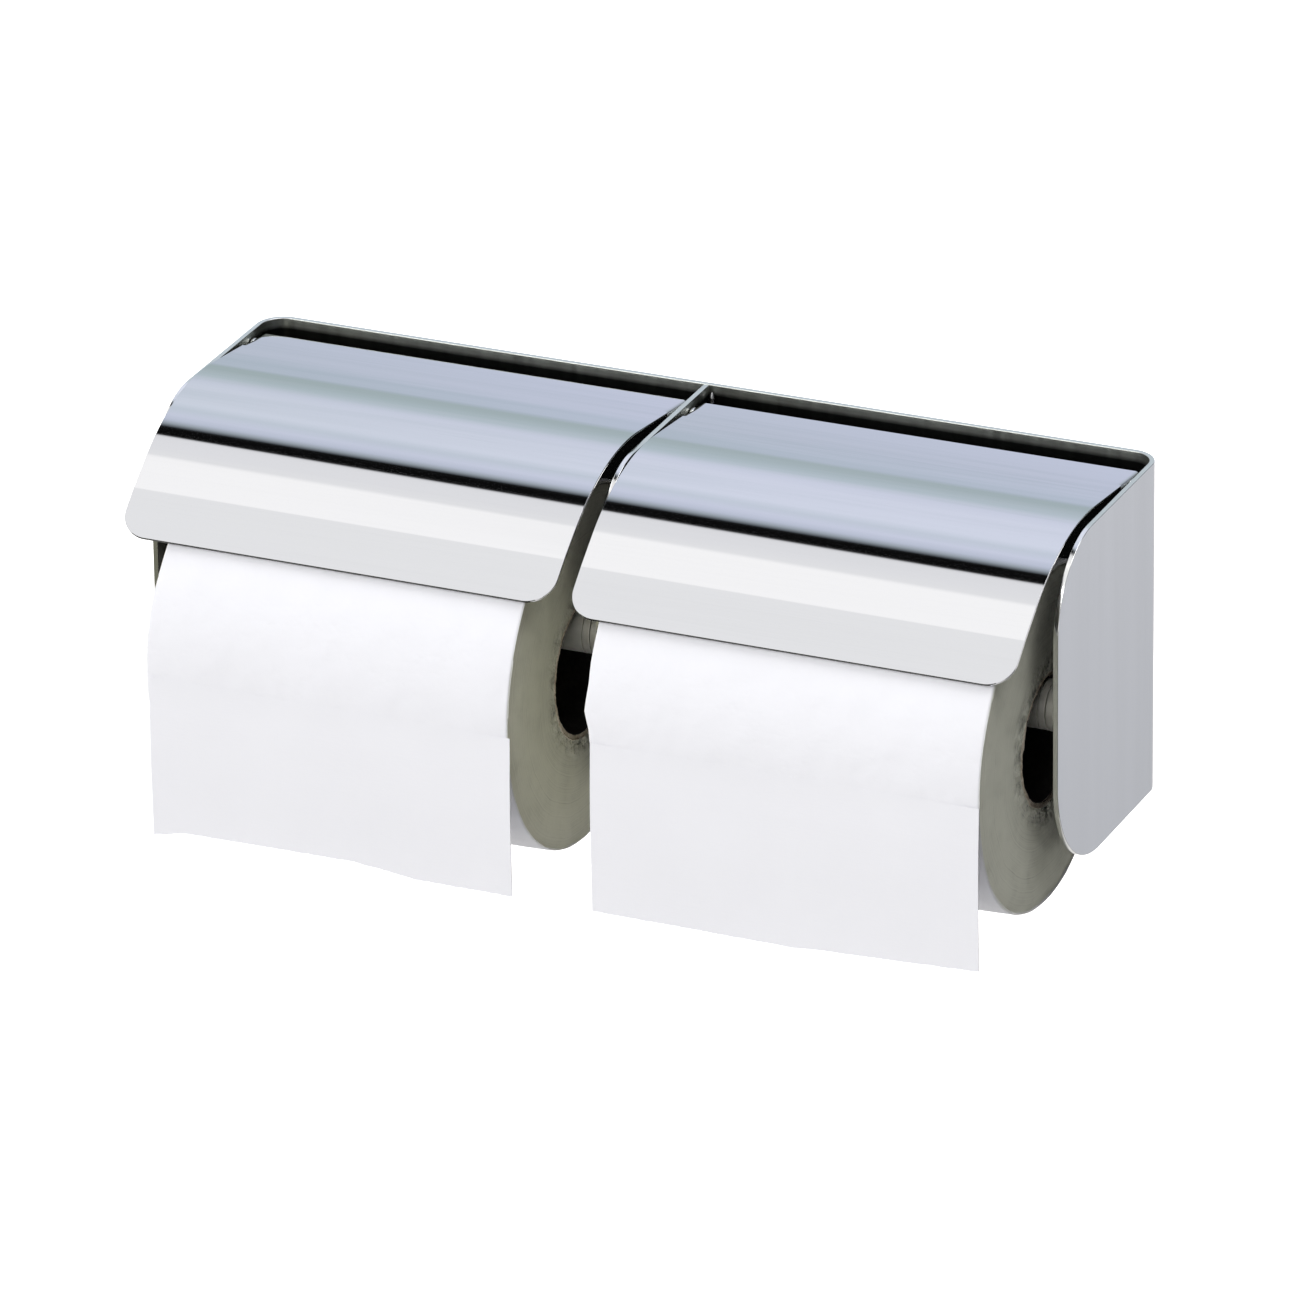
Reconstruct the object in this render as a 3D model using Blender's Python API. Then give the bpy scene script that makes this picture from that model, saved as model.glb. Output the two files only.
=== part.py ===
# A wall-mounted dispenser for two toilet rolls, in metres. +X is to the right, +Z is up, and the front
# faces -Y. The origin is the middle of the back plate's rear face, which lies on the wall at Y = 0.
import math
from collections import namedtuple

import bmesh
import bpy
from mathutils import Matrix

# Common clearances
GAP = 0.0003
CUT_OVERRUN = 0.002
MERGE_DISTANCE = 0.000001

# Housing: the back plate and both end plates, bent from one sheet
HOUSING_WIDTH = 0.270
HOUSING_HEIGHT = 0.098
SHEET = 0.0015
REAR_BEND_RADIUS = 0.008
PLATE_FRONT_MARGIN = 0.0125
PLATE_TOP_CORNER_RADIUS = 0.025
PLATE_BOTTOM_CORNER_RADIUS = 0.031
SCREW_HOLE_RADIUS = 0.00275
SCREW_HOLE_SIDE_INSET = 0.025
SCREW_HOLE_EDGE_INSET = 0.020

# Weld tacks in the corners between the partition and the back plate
TACK_RADIUS = 0.0010
TACK_LENGTH = 0.006
TACK_EDGE_INSET = 0.0045

# Hoods
HOOD_SHEET = 0.0008
HOOD_SIDE_CLEARANCE = 0.0015
HOOD_REAR_REACH = 0.0043
HOOD_RISE_AT_PIN = 0.0031
HOOD_RISE_ANGLE = math.radians(5.5)
HOOD_FLAT_LENGTH = 0.0332
HOOD_ARC_RADIUS = 0.060
HOOD_ARC_TURN = math.radians(46)
HOOD_FLAP_LENGTH = 0.022
HOOD_CORNER_RADIUS = 0.008
EAR_FRONT_REACH = 0.009

# Hinge pins, measured from the wall and from the plates' top edge
PIN_DEPTH = 0.0145
PIN_DROP = 0.0044
PIN_RADIUS = 0.0015
PIN_CLEARANCE = 0.0003
PIN_END_REACH = 0.0012
PIN_COLLAR_RADIUS = 0.0026

# Spindles: a tube with a cap at its right end and a sprung plunger at its left end
SPINDLE_DROP = 0.049
TUBE_RADIUS = 0.007
TUBE_WALL = 0.0007
TUBE_LIP_LENGTH = 0.0012
PLUNGER_SHOULDER = 0.0008
PLUNGER_WALL = 0.0007
PLUNGER_SHOWN_LENGTH = 0.015
PLUNGER_CLEARANCE = 0.0003
PLUNGER_HOLD = 0.030
PLUNGER_COLLAR_LENGTH = 0.004
PLUG_FLANGE_LENGTH = 0.002
PLUG_SPIGOT_LENGTH = 0.003
PLUG_EDGE_RADIUS = 0.0008
TIP_RADIUS = 0.003
SPRING_WIRE_RADIUS = 0.00045
SPRING_TURNS = 12
SPRING_POINTS_A_TURN = 8

# Spindle seats on the plates and on the partition
SEAT_FLOOR = 0.0008
SEAT_BORE_DEPTH = 0.0032
SEAT_BORE_CLEARANCE = 0.0004
SEAT_HUB_RADIUS = 0.0078
SEAT_FLANGE_LENGTH = 0.0012
SEAT_FLANGE_WIDTH = 0.0022

# Rolls, and the free space at each end of each roll
ROLL_REAR_CLEARANCE = 0.0115
ROLL_EDGE_RADIUS = 0.0010
CORE_WALL = 0.0010
LEFT_ROLL_RADIUS = 0.052
LEFT_CORE_RADIUS = 0.019
LEFT_ROLL_LEFT_SPACE = 0.0155
LEFT_ROLL_RIGHT_SPACE = 0.0088
RIGHT_ROLL_RADIUS = 0.049
RIGHT_CORE_RADIUS = 0.0175
RIGHT_ROLL_LEFT_SPACE = 0.0130
RIGHT_ROLL_RIGHT_SPACE = 0.0062

# Paper tails, which hang from the rolls' fronts
TAIL_THICKNESS = 0.0004
TAIL_DROP = 0.0468
TAIL_BULGE = 0.0005
TAIL_EDGE_WAVE = 0.0006
TAIL_EDGE_WAVES = 2.5

# Smoothness of the round shapes
SMALL_ROUND_SIDES = 24
TUBE_SIDES = 32
CORE_SIDES = 48
ROLL_SIDES = 60
ARC_STEPS = 8
EDGE_STEPS = 3
HOOD_ARC_STEPS = 14
TAIL_ROWS = 8
TAIL_COLUMNS = 20
SMOOTH_ANGLE = math.radians(35)

HALF_WIDTH = HOUSING_WIDTH / 2
TOP = HOUSING_HEIGHT / 2
PIN_HEIGHT = TOP - PIN_DROP
SPINDLE_HEIGHT = TOP - SPINDLE_DROP
SPINDLE_DEPTH = SHEET + ROLL_REAR_CLEARANCE + max(LEFT_ROLL_RADIUS, RIGHT_ROLL_RADIUS)
HOUSING_DEPTH = SPINDLE_DEPTH + PLATE_FRONT_MARGIN
TUBE_INNER_RADIUS = TUBE_RADIUS - TUBE_WALL
PLUNGER_RADIUS = TUBE_INNER_RADIUS - PLUNGER_SHOULDER
SEAT_LENGTH = SEAT_FLOOR + SEAT_BORE_DEPTH
LEFT_BAY = (SHEET - HALF_WIDTH, -SHEET / 2)
RIGHT_BAY = (SHEET / 2, HALF_WIDTH - SHEET)

Roll = namedtuple("Roll", "side bay radius core_radius left_space right_space")


def roll_width(roll):
    return roll.bay[1] - roll.bay[0] - roll.left_space - roll.right_space


def roll_middle(roll):
    return (roll.bay[0] + roll.left_space + roll.bay[1] - roll.right_space) / 2


# The core hangs on the spindle's tube, so the roll's centre lies below the spindle's
def roll_height(roll):
    return SPINDLE_HEIGHT - (roll.core_radius - TUBE_RADIUS - GAP)


def clear_scene():
    for old in list(bpy.data.objects):
        bpy.data.objects.remove(old, do_unlink=True)


def make_material(name, colour, roughness, metallic):
    material = bpy.data.materials.new(name)
    material.use_nodes = True
    shader = material.node_tree.nodes["Principled BSDF"]
    shader.inputs["Base Color"].default_value = (*colour, 1)
    shader.inputs["Roughness"].default_value = roughness
    shader.inputs["Metallic"].default_value = metallic
    return material


def add_object(name, shape, material, location=(0, 0, 0)):
    bmesh.ops.recalc_face_normals(shape, faces=shape.faces)
    mesh = bpy.data.meshes.new(name)
    shape.to_mesh(mesh)
    shape.free()
    mesh.shade_smooth()
    mesh.set_sharp_from_angle(angle=SMOOTH_ANGLE)
    made = bpy.data.objects.new(name, mesh)
    made.location = location
    bpy.context.collection.objects.link(made)
    if material:
        mesh.materials.append(material)
    else:
        made.hide_render = True
        made.display_type = "WIRE"
    return made


def combine(target, other, operation):
    step = target.modifiers.new(operation.lower(), "BOOLEAN")
    step.operation = operation
    step.object = other
    step.solver = "EXACT"


# Points on an arc, as (first axis, second axis), both ends included
def arc(centre, radius, start, end, steps=ARC_STEPS):
    angles = [start + (end - start) * step / steps for step in range(steps + 1)]
    return [(centre[0] + radius * math.cos(a), centre[1] + radius * math.sin(a)) for a in angles]


# A closed outline pushed along a direction
def prism(outline, direction):
    shape = bmesh.new()
    face = shape.faces.new([shape.verts.new(point) for point in outline])
    pushed = bmesh.ops.extrude_face_region(shape, geom=[face])
    moved = [item for item in pushed["geom"] if isinstance(item, bmesh.types.BMVert)]
    bmesh.ops.translate(shape, verts=moved, vec=direction)
    return shape


# An outline of (place along X, radius) points turned about X. A closed outline makes a ring, and an
# open one starts and ends on the axis.
def turned(outline, sides, closed=False):
    shape = bmesh.new()
    points = [shape.verts.new((along, 0, radius)) for along, radius in outline]
    pairs = list(zip(points, points[1:]))
    if closed:
        pairs.append((points[-1], points[0]))
    edges = [shape.edges.new(pair) for pair in pairs]
    bmesh.ops.spin(
        shape,
        geom=points + edges,
        cent=(0, 0, 0),
        axis=(1, 0, 0),
        angle=math.tau,
        steps=sides,
        use_merge=True,
    )
    bmesh.ops.remove_doubles(shape, verts=shape.verts, dist=MERGE_DISTANCE)
    return shape


# A cutting rod along X, with its axis at a depth from the wall and a height
def add_rod(name, reach, depth, height, radius):
    outline = [(-reach, 0), (-reach, radius), (reach, radius), (reach, 0)]
    return add_object(name, turned(outline, SMALL_ROUND_SIDES), None, (0, -depth, height))


# The plates' side outline, as (Y, Z), from a rear edge at rear_y to the rounded front corners
def plate_outline(rear_y):
    top_centre = (PLATE_TOP_CORNER_RADIUS - HOUSING_DEPTH, TOP - PLATE_TOP_CORNER_RADIUS)
    bottom_centre = (PLATE_BOTTOM_CORNER_RADIUS - HOUSING_DEPTH, PLATE_BOTTOM_CORNER_RADIUS - TOP)
    upper = arc(top_centre, PLATE_TOP_CORNER_RADIUS, math.pi / 2, math.pi)
    lower = arc(bottom_centre, PLATE_BOTTOM_CORNER_RADIUS, math.pi, math.pi * 3 / 2)
    return [(rear_y, TOP)] + upper + lower + [(rear_y, -TOP)]


# One face of the bent sheet seen from above, as (X, Y), from the left plate's front to the right one's
def bend_line(inset):
    side = HALF_WIDTH - inset
    radius = REAR_BEND_RADIUS - inset
    centre_x = HALF_WIDTH - REAR_BEND_RADIUS
    front_y = -HOUSING_DEPTH - CUT_OVERRUN
    left = arc((-centre_x, -REAR_BEND_RADIUS), radius, math.pi, math.pi / 2)
    right = arc((centre_x, -REAR_BEND_RADIUS), radius, math.pi / 2, 0)
    return [(-side, front_y)] + left + right + [(side, front_y)]


def add_housing(steel):
    low = -TOP - CUT_OVERRUN
    outline = bend_line(0) + bend_line(SHEET)[::-1]
    shell = prism([(x, y, low) for x, y in outline], (0, 0, HOUSING_HEIGHT + 2 * CUT_OVERRUN))
    housing = add_object("housing", shell, steel)
    start = -HALF_WIDTH - CUT_OVERRUN
    profile = prism(
        [(start, y, z) for y, z in plate_outline(CUT_OVERRUN)],
        (HOUSING_WIDTH + 2 * CUT_OVERRUN, 0, 0),
    )
    combine(housing, add_object("plate_profile", profile, None), "INTERSECT")
    drill_screw_holes(housing)


# Four holes through the back plate, near its corners
def drill_screw_holes(housing):
    hole_x = HALF_WIDTH - SCREW_HOLE_SIDE_INSET
    hole_z = TOP - SCREW_HOLE_EDGE_INSET
    length = SHEET + 2 * CUT_OVERRUN
    outline = [(0, 0), (0, SCREW_HOLE_RADIUS), (length, SCREW_HOLE_RADIUS), (length, 0)]
    towards_front = Matrix.Rotation(-math.pi / 2, 3, "Z")
    for side_name, x in (("left", -hole_x), ("right", hole_x)):
        for end_name, z in (("top", hole_z), ("bottom", -hole_z)):
            drill = turned(outline, SMALL_ROUND_SIDES)
            bmesh.ops.rotate(drill, verts=drill.verts, cent=(0, 0, 0), matrix=towards_front)
            name = f"screw_drill_{side_name}_{end_name}"
            combine(housing, add_object(name, drill, None, (x, CUT_OVERRUN, z)), "DIFFERENCE")


def add_partition(steel):
    rear_y = -SHEET - GAP
    plate = prism([(-SHEET / 2, y, z) for y, z in plate_outline(rear_y)], (SHEET, 0, 0))
    partition = add_object("partition", plate, steel)
    reach = SHEET / 2 + CUT_OVERRUN
    drill = add_rod("pin_drill", reach, PIN_DEPTH, PIN_HEIGHT, PIN_RADIUS + GAP)
    combine(partition, drill, "DIFFERENCE")


# Beads of weld in the corner on each side of the partition, near its top and its bottom
def add_weld_tacks(steel):
    side = SHEET / 2 + GAP + TACK_RADIUS
    depth = SHEET + GAP + TACK_RADIUS
    height = TOP - TACK_EDGE_INSET
    stretch = Matrix.Diagonal((1, 1, TACK_LENGTH / (2 * TACK_RADIUS), 1))
    for side_name, x in (("left", -side), ("right", side)):
        for end_name, z in (("top", height), ("bottom", -height)):
            bead = bmesh.new()
            bmesh.ops.create_icosphere(bead, subdivisions=2, radius=TACK_RADIUS, matrix=stretch)
            add_object(f"weld_tack_{side_name}_{end_name}", bead, steel, (x, -depth, z))


# The hood's outer face seen from its side, as (forward of the pin, above the pin, slope), before the
# hood is let down on its roll
def hood_line():
    slope = HOOD_RISE_ANGLE
    rear = (-HOOD_REAR_REACH, HOOD_RISE_AT_PIN - HOOD_REAR_REACH * math.tan(slope))
    bend = (rear[0] + HOOD_FLAT_LENGTH * math.cos(slope), rear[1] + HOOD_FLAT_LENGTH * math.sin(slope))
    centre = (bend[0] + HOOD_ARC_RADIUS * math.sin(slope), bend[1] - HOOD_ARC_RADIUS * math.cos(slope))
    line = [(*rear, slope)]
    for step in range(HOOD_ARC_STEPS + 1):
        slope = HOOD_RISE_ANGLE - HOOD_ARC_TURN * step / HOOD_ARC_STEPS
        forward = centre[0] - HOOD_ARC_RADIUS * math.sin(slope)
        line.append((forward, centre[1] + HOOD_ARC_RADIUS * math.cos(slope), slope))
    start = line[-1]
    for step in range(ARC_STEPS + 1):
        angle = math.pi / 2 * (1 - step / ARC_STEPS)
        run = HOOD_FLAP_LENGTH - HOOD_CORNER_RADIUS * (1 - math.cos(angle))
        line.append((start[0] + run * math.cos(slope), start[1] + run * math.sin(slope), slope))
    return line


def inner_point(point):
    forward, above, slope = point
    return (forward + HOOD_SHEET * math.sin(slope), above - HOOD_SHEET * math.cos(slope))


def distance_to_piece(point, start, end):
    run = (end[0] - start[0], end[1] - start[1])
    length_squared = run[0] ** 2 + run[1] ** 2
    along = ((point[0] - start[0]) * run[0] + (point[1] - start[1]) * run[1]) / length_squared
    along = min(1, max(0, along))
    return math.hypot(start[0] + along * run[0] - point[0], start[1] + along * run[1] - point[1])


# How far the hood stands open, from the line above, when its inner face rests on the roll
def hood_rest_angle(roll):
    inner = [inner_point(point) for point in hood_line()]
    offset = (SPINDLE_DEPTH - PIN_DEPTH, roll_height(roll) - PIN_HEIGHT)
    closed, opened = -math.pi / 4, math.pi / 2
    for _ in range(40):
        angle = (closed + opened) / 2
        turn_cos = math.cos(angle)
        turn_sin = math.sin(angle)
        centre = (offset[0] * turn_cos + offset[1] * turn_sin, offset[1] * turn_cos - offset[0] * turn_sin)
        nearest = min(distance_to_piece(centre, a, b) for a, b in zip(inner, inner[1:]))
        if nearest < roll.radius + GAP:
            closed = angle
        else:
            opened = angle
    return opened


# The ear's outline, as (forward of the pin, above the pin): round below the pin, and up into the sheet
def ear_outline():
    slope = HOOD_RISE_ANGLE
    below = HOOD_SHEET / (2 * math.cos(slope))
    rear_top = HOOD_RISE_AT_PIN - HOOD_REAR_REACH * math.tan(slope) - below
    front_top = HOOD_RISE_AT_PIN + EAR_FRONT_REACH * math.tan(slope) - below
    bottom = arc((0, 0), HOOD_REAR_REACH, math.pi, math.pi * 2)
    return [(-HOOD_REAR_REACH, rear_top)] + bottom + [(EAR_FRONT_REACH, front_top)]


def add_hood(roll, steel):
    name = f"hood_{roll.side}"
    width = roll.bay[1] - roll.bay[0] - 2 * HOOD_SIDE_CLEARANCE
    middle = (roll.bay[0] + roll.bay[1]) / 2
    line = hood_line()
    sheet = bmesh.new()
    rows = []
    for number, point in enumerate(line):
        corner_step = number - (len(line) - 1 - ARC_STEPS)
        angle = math.pi / 2 * (1 - max(0, corner_step) / ARC_STEPS)
        half = width / 2 - HOOD_CORNER_RADIUS * (1 - math.sin(angle))
        inner = inner_point(point)
        corners = [(-half, point), (half, point), (half, inner), (-half, inner)]
        rows.append([sheet.verts.new((x, -place[0], place[1])) for x, place in corners])
    for row, following in zip(rows, rows[1:]):
        for a, b in ((0, 1), (1, 2), (2, 3), (3, 0)):
            sheet.faces.new((row[a], row[b], following[b], following[a]))
    sheet.faces.new(rows[0])
    sheet.faces.new(rows[-1])
    hood = add_object(name, sheet, steel, (middle, -PIN_DEPTH, PIN_HEIGHT))
    hood.rotation_euler.x = -hood_rest_angle(roll)
    for end, start_x in (("left", -width / 2), ("right", width / 2 - HOOD_SHEET)):
        ear = prism([(start_x, -forward, above) for forward, above in ear_outline()], (HOOD_SHEET, 0, 0))
        guide = add_object(f"{name}_{end}_ear", ear, None)
        guide.parent = hood
        combine(hood, guide, "UNION")
    drill = add_rod(f"{name}_drill", width / 2 + CUT_OVERRUN, 0, 0, PIN_RADIUS + PIN_CLEARANCE)
    drill.parent = hood
    combine(hood, drill, "DIFFERENCE")


# Half of a hinge pin: a collar that fills the space beside the plate, then the end that carries the ear
def pin_steps(face, direction):
    collar_end = face + direction * (HOOD_SIDE_CLEARANCE - GAP)
    pin_end = face + direction * (HOOD_SIDE_CLEARANCE + HOOD_SHEET + PIN_END_REACH)
    collar = [(face + direction * GAP, PIN_COLLAR_RADIUS), (collar_end, PIN_COLLAR_RADIUS)]
    return collar + [(collar_end, PIN_RADIUS), (pin_end, PIN_RADIUS), (pin_end, 0)]


def add_hinge_pins(steel):
    place = (0, -PIN_DEPTH, PIN_HEIGHT)
    ends = (("hinge_pin_left", LEFT_BAY[0], 1), ("hinge_pin_right", RIGHT_BAY[1], -1))
    for name, face, direction in ends:
        outline = [(face + direction * GAP, 0)] + pin_steps(face, direction)
        add_object(name, turned(outline, SMALL_ROUND_SIDES), steel, place)
    left = pin_steps(LEFT_BAY[1], -1)
    right = pin_steps(RIGHT_BAY[0], 1)
    neck = [(left[0][0], PIN_RADIUS), (right[0][0], PIN_RADIUS)]
    add_object("hinge_pin_middle", turned(left[::-1] + neck + right, SMALL_ROUND_SIDES), steel, place)


# A cup on a plate, whose bore takes a spindle's tip
def add_seat(name, face, direction, steel):
    base = face + direction * GAP
    flange = base + direction * SEAT_FLANGE_LENGTH
    mouth = base + direction * SEAT_LENGTH
    floor = mouth - direction * SEAT_BORE_DEPTH
    bore = TIP_RADIUS + SEAT_BORE_CLEARANCE
    flange_radius = SEAT_HUB_RADIUS + SEAT_FLANGE_WIDTH
    outline = [
        (base, 0),
        (base, flange_radius),
        (flange, flange_radius),
        (flange, SEAT_HUB_RADIUS),
        (mouth, SEAT_HUB_RADIUS),
        (mouth, bore),
        (floor, bore),
        (floor, 0),
    ]
    add_object(name, turned(outline, SMALL_ROUND_SIDES), steel, (0, -SPINDLE_DEPTH, SPINDLE_HEIGHT))


# A plug in a tube's end: a spigot inside the tube, a flange as wide as the tube, and a domed tip
def plug_outline(flange_face, direction, tube_radius, tube_wall):
    spigot_radius = tube_radius - tube_wall - GAP
    shoulder = flange_face - direction * PLUG_FLANGE_LENGTH
    spigot_end = shoulder - direction * PLUG_SPIGOT_LENGTH
    straight_end = flange_face + direction * (SEAT_BORE_DEPTH - TIP_RADIUS / 2)
    rounding = arc((0, 0), 1, math.pi / 2, 0, EDGE_STEPS)
    edge = []
    dome = []
    for along, out in rounding:
        edge_start = flange_face - direction * PLUG_EDGE_RADIUS * (1 - along)
        edge.append((edge_start, tube_radius - PLUG_EDGE_RADIUS * (1 - out)))
        dome.append((straight_end + direction * TIP_RADIUS / 2 * along, TIP_RADIUS * out))
    inside = [(spigot_end, 0), (spigot_end, spigot_radius)]
    inside += [(shoulder, spigot_radius), (shoulder, tube_radius)]
    dome[-1] = (dome[-1][0], 0)
    return inside + edge + [(flange_face, TIP_RADIUS)] + dome


# Least distance between a helix's wire and itself one turn on, less the wire's thickness
def least_coil_gap(points):
    per_turn = SPRING_POINTS_A_TURN
    nearest = min(
        math.dist(point, other)
        for number, point in enumerate(points)
        for other in points[number + per_turn - 1 : number + per_turn + 2]
    )
    return nearest - 2 * SPRING_WIRE_RADIUS


def add_spring(name, start, end, steel):
    coil_radius = (TUBE_INNER_RADIUS + PLUNGER_RADIUS - PLUNGER_WALL) / 2 - GAP
    count = SPRING_TURNS * SPRING_POINTS_A_TURN
    run = end - start - 2 * SPRING_WIRE_RADIUS
    points = []
    for number in range(count + 1):
        angle = math.tau * number / SPRING_POINTS_A_TURN
        along = start + SPRING_WIRE_RADIUS + run * number / count
        points.append((along, coil_radius * math.cos(angle), coil_radius * math.sin(angle)))
    print(name, "least gap between turns", round(least_coil_gap(points), 5))
    curve = bpy.data.curves.new(name, "CURVE")
    curve.dimensions = "3D"
    curve.bevel_depth = SPRING_WIRE_RADIUS
    curve.bevel_resolution = 1
    curve.use_fill_caps = True
    wire = curve.splines.new("POLY")
    wire.points.add(count)
    for place, point in zip(wire.points, points):
        place.co = (*point, 1)
    curve.materials.append(steel)
    spring = bpy.data.objects.new(name, curve)
    bpy.context.collection.objects.link(spring)
    spring.location = (0, -SPINDLE_DEPTH, SPINDLE_HEIGHT)


def add_spindle(side, bay, steel, spring_steel):
    place = (0, -SPINDLE_DEPTH, SPINDLE_HEIGHT)
    left_flange = bay[0] + SEAT_LENGTH + 2 * GAP
    right_flange = bay[1] - SEAT_LENGTH - 2 * GAP
    plunger_start = left_flange + PLUG_FLANGE_LENGTH + GAP
    tube_start = plunger_start + PLUNGER_SHOWN_LENGTH
    tube_end = right_flange - PLUG_FLANGE_LENGTH - GAP
    lip_end = tube_start + TUBE_LIP_LENGTH
    lip_radius = PLUNGER_RADIUS + PLUNGER_CLEARANCE
    tube = [
        (tube_start, lip_radius),
        (tube_start, TUBE_RADIUS),
        (tube_end, TUBE_RADIUS),
        (tube_end, TUBE_INNER_RADIUS),
        (lip_end, TUBE_INNER_RADIUS),
        (lip_end, lip_radius),
    ]
    add_object(f"spindle_tube_{side}", turned(tube, TUBE_SIDES, closed=True), steel, place)
    cap = plug_outline(right_flange, 1, TUBE_RADIUS, TUBE_WALL)
    add_object(f"spindle_cap_{side}", turned(cap, SMALL_ROUND_SIDES), steel, place)

    plunger_end = tube_start + PLUNGER_HOLD
    collar_start = plunger_end - PLUNGER_COLLAR_LENGTH
    collar_radius = TUBE_INNER_RADIUS - PLUNGER_CLEARANCE
    plunger_inner = PLUNGER_RADIUS - PLUNGER_WALL
    plunger = [
        (plunger_start, plunger_inner),
        (plunger_start, PLUNGER_RADIUS),
        (collar_start, PLUNGER_RADIUS),
        (collar_start, collar_radius),
        (plunger_end, collar_radius),
        (plunger_end, plunger_inner),
    ]
    add_object(f"plunger_{side}", turned(plunger, TUBE_SIDES, closed=True), steel, place)
    tip = plug_outline(left_flange, -1, PLUNGER_RADIUS, PLUNGER_WALL)
    add_object(f"plunger_tip_{side}", turned(tip, SMALL_ROUND_SIDES), steel, place)
    spring_end = tube_end - PLUG_SPIGOT_LENGTH - GAP
    add_spring(f"spindle_spring_{side}", plunger_end + GAP, spring_end - GAP, spring_steel)


def add_roll(roll, paper, cardboard):
    place = (roll_middle(roll), -SPINDLE_DEPTH, roll_height(roll))
    half = roll_width(roll) / 2
    inner = roll.core_radius
    outer = inner + CORE_WALL
    core = [(-half, inner), (-half, outer), (half, outer), (half, inner)]
    add_object(f"core_{roll.side}", turned(core, CORE_SIDES, closed=True), cardboard, place)
    wound_inner = outer + GAP
    corner_x = half - ROLL_EDGE_RADIUS
    corner_radius = roll.radius - ROLL_EDGE_RADIUS
    right = arc((corner_x, corner_radius), ROLL_EDGE_RADIUS, 0, math.pi / 2, EDGE_STEPS)
    left = arc((-corner_x, corner_radius), ROLL_EDGE_RADIUS, math.pi / 2, math.pi, EDGE_STEPS)
    wound = [(half, wound_inner)] + right + left + [(-half, wound_inner)]
    add_object(f"roll_{roll.side}", turned(wound, ROLL_SIDES, closed=True), paper, place)


# One face of a tail as rows of corners, from the roll down to the torn edge
def tail_face(tail, width, offset):
    rows = []
    for row in range(TAIL_ROWS + 1):
        down = row / TAIL_ROWS
        forward = offset + TAIL_BULGE * math.sin(math.pi * down) ** 2
        corners = []
        for column in range(TAIL_COLUMNS + 1):
            across = column / TAIL_COLUMNS
            wave = TAIL_EDGE_WAVE * down * math.sin(math.tau * TAIL_EDGE_WAVES * across)
            corners.append(tail.verts.new((width * (across - 1 / 2), -forward, wave - TAIL_DROP * down)))
        rows.append(corners)
    return rows


# Faces between two matching lines of corners
def bridge(shape, first, second):
    for a, b, c, d in zip(first, first[1:], second[1:], second):
        shape.faces.new((a, b, c, d))


# The loose end: flat across, a little bowed on its way down, and torn in a shallow wave
def add_tail(roll, paper):
    depth = SPINDLE_DEPTH + roll.radius + GAP + TAIL_THICKNESS / 2
    tail = bmesh.new()
    back = tail_face(tail, roll_width(roll), -TAIL_THICKNESS / 2)
    front = tail_face(tail, roll_width(roll), TAIL_THICKNESS / 2)
    for rows in (back, front):
        for upper, lower in zip(rows, rows[1:]):
            bridge(tail, upper, lower)
    for end in (0, -1):
        bridge(tail, back[end], front[end])
        bridge(tail, [corners[end] for corners in back], [corners[end] for corners in front])
    add_object(f"tail_{roll.side}", tail, paper, (roll_middle(roll), -depth, roll_height(roll)))


def main():
    clear_scene()
    polished = make_material("polished_stainless", (0.72, 0.73, 0.75), 0.18, 1)
    hood_steel = make_material("hood_stainless", (0.74, 0.75, 0.79), 0.14, 1)
    chrome = make_material("chrome", (0.80, 0.80, 0.80), 0.08, 1)
    spring_steel = make_material("spring_steel", (0.45, 0.45, 0.46), 0.35, 1)
    paper = make_material("tissue_paper", (0.93, 0.93, 0.95), 0.9, 0)
    cardboard = make_material("cardboard", (0.48, 0.38, 0.28), 0.85, 0)

    add_housing(polished)
    add_partition(polished)
    add_weld_tacks(polished)
    add_hinge_pins(chrome)
    rolls = (
        Roll(
            "left",
            LEFT_BAY,
            LEFT_ROLL_RADIUS,
            LEFT_CORE_RADIUS,
            LEFT_ROLL_LEFT_SPACE,
            LEFT_ROLL_RIGHT_SPACE,
        ),
        Roll(
            "right",
            RIGHT_BAY,
            RIGHT_ROLL_RADIUS,
            RIGHT_CORE_RADIUS,
            RIGHT_ROLL_LEFT_SPACE,
            RIGHT_ROLL_RIGHT_SPACE,
        ),
    )
    for roll in rolls:
        add_hood(roll, hood_steel)
        add_seat(f"seat_{roll.side}_bay_left", roll.bay[0], 1, chrome)
        add_seat(f"seat_{roll.side}_bay_right", roll.bay[1], -1, chrome)
        add_spindle(roll.side, roll.bay, chrome, spring_steel)
        add_roll(roll, paper, cardboard)
        add_tail(roll, paper)


main()
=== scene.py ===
import math

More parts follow.
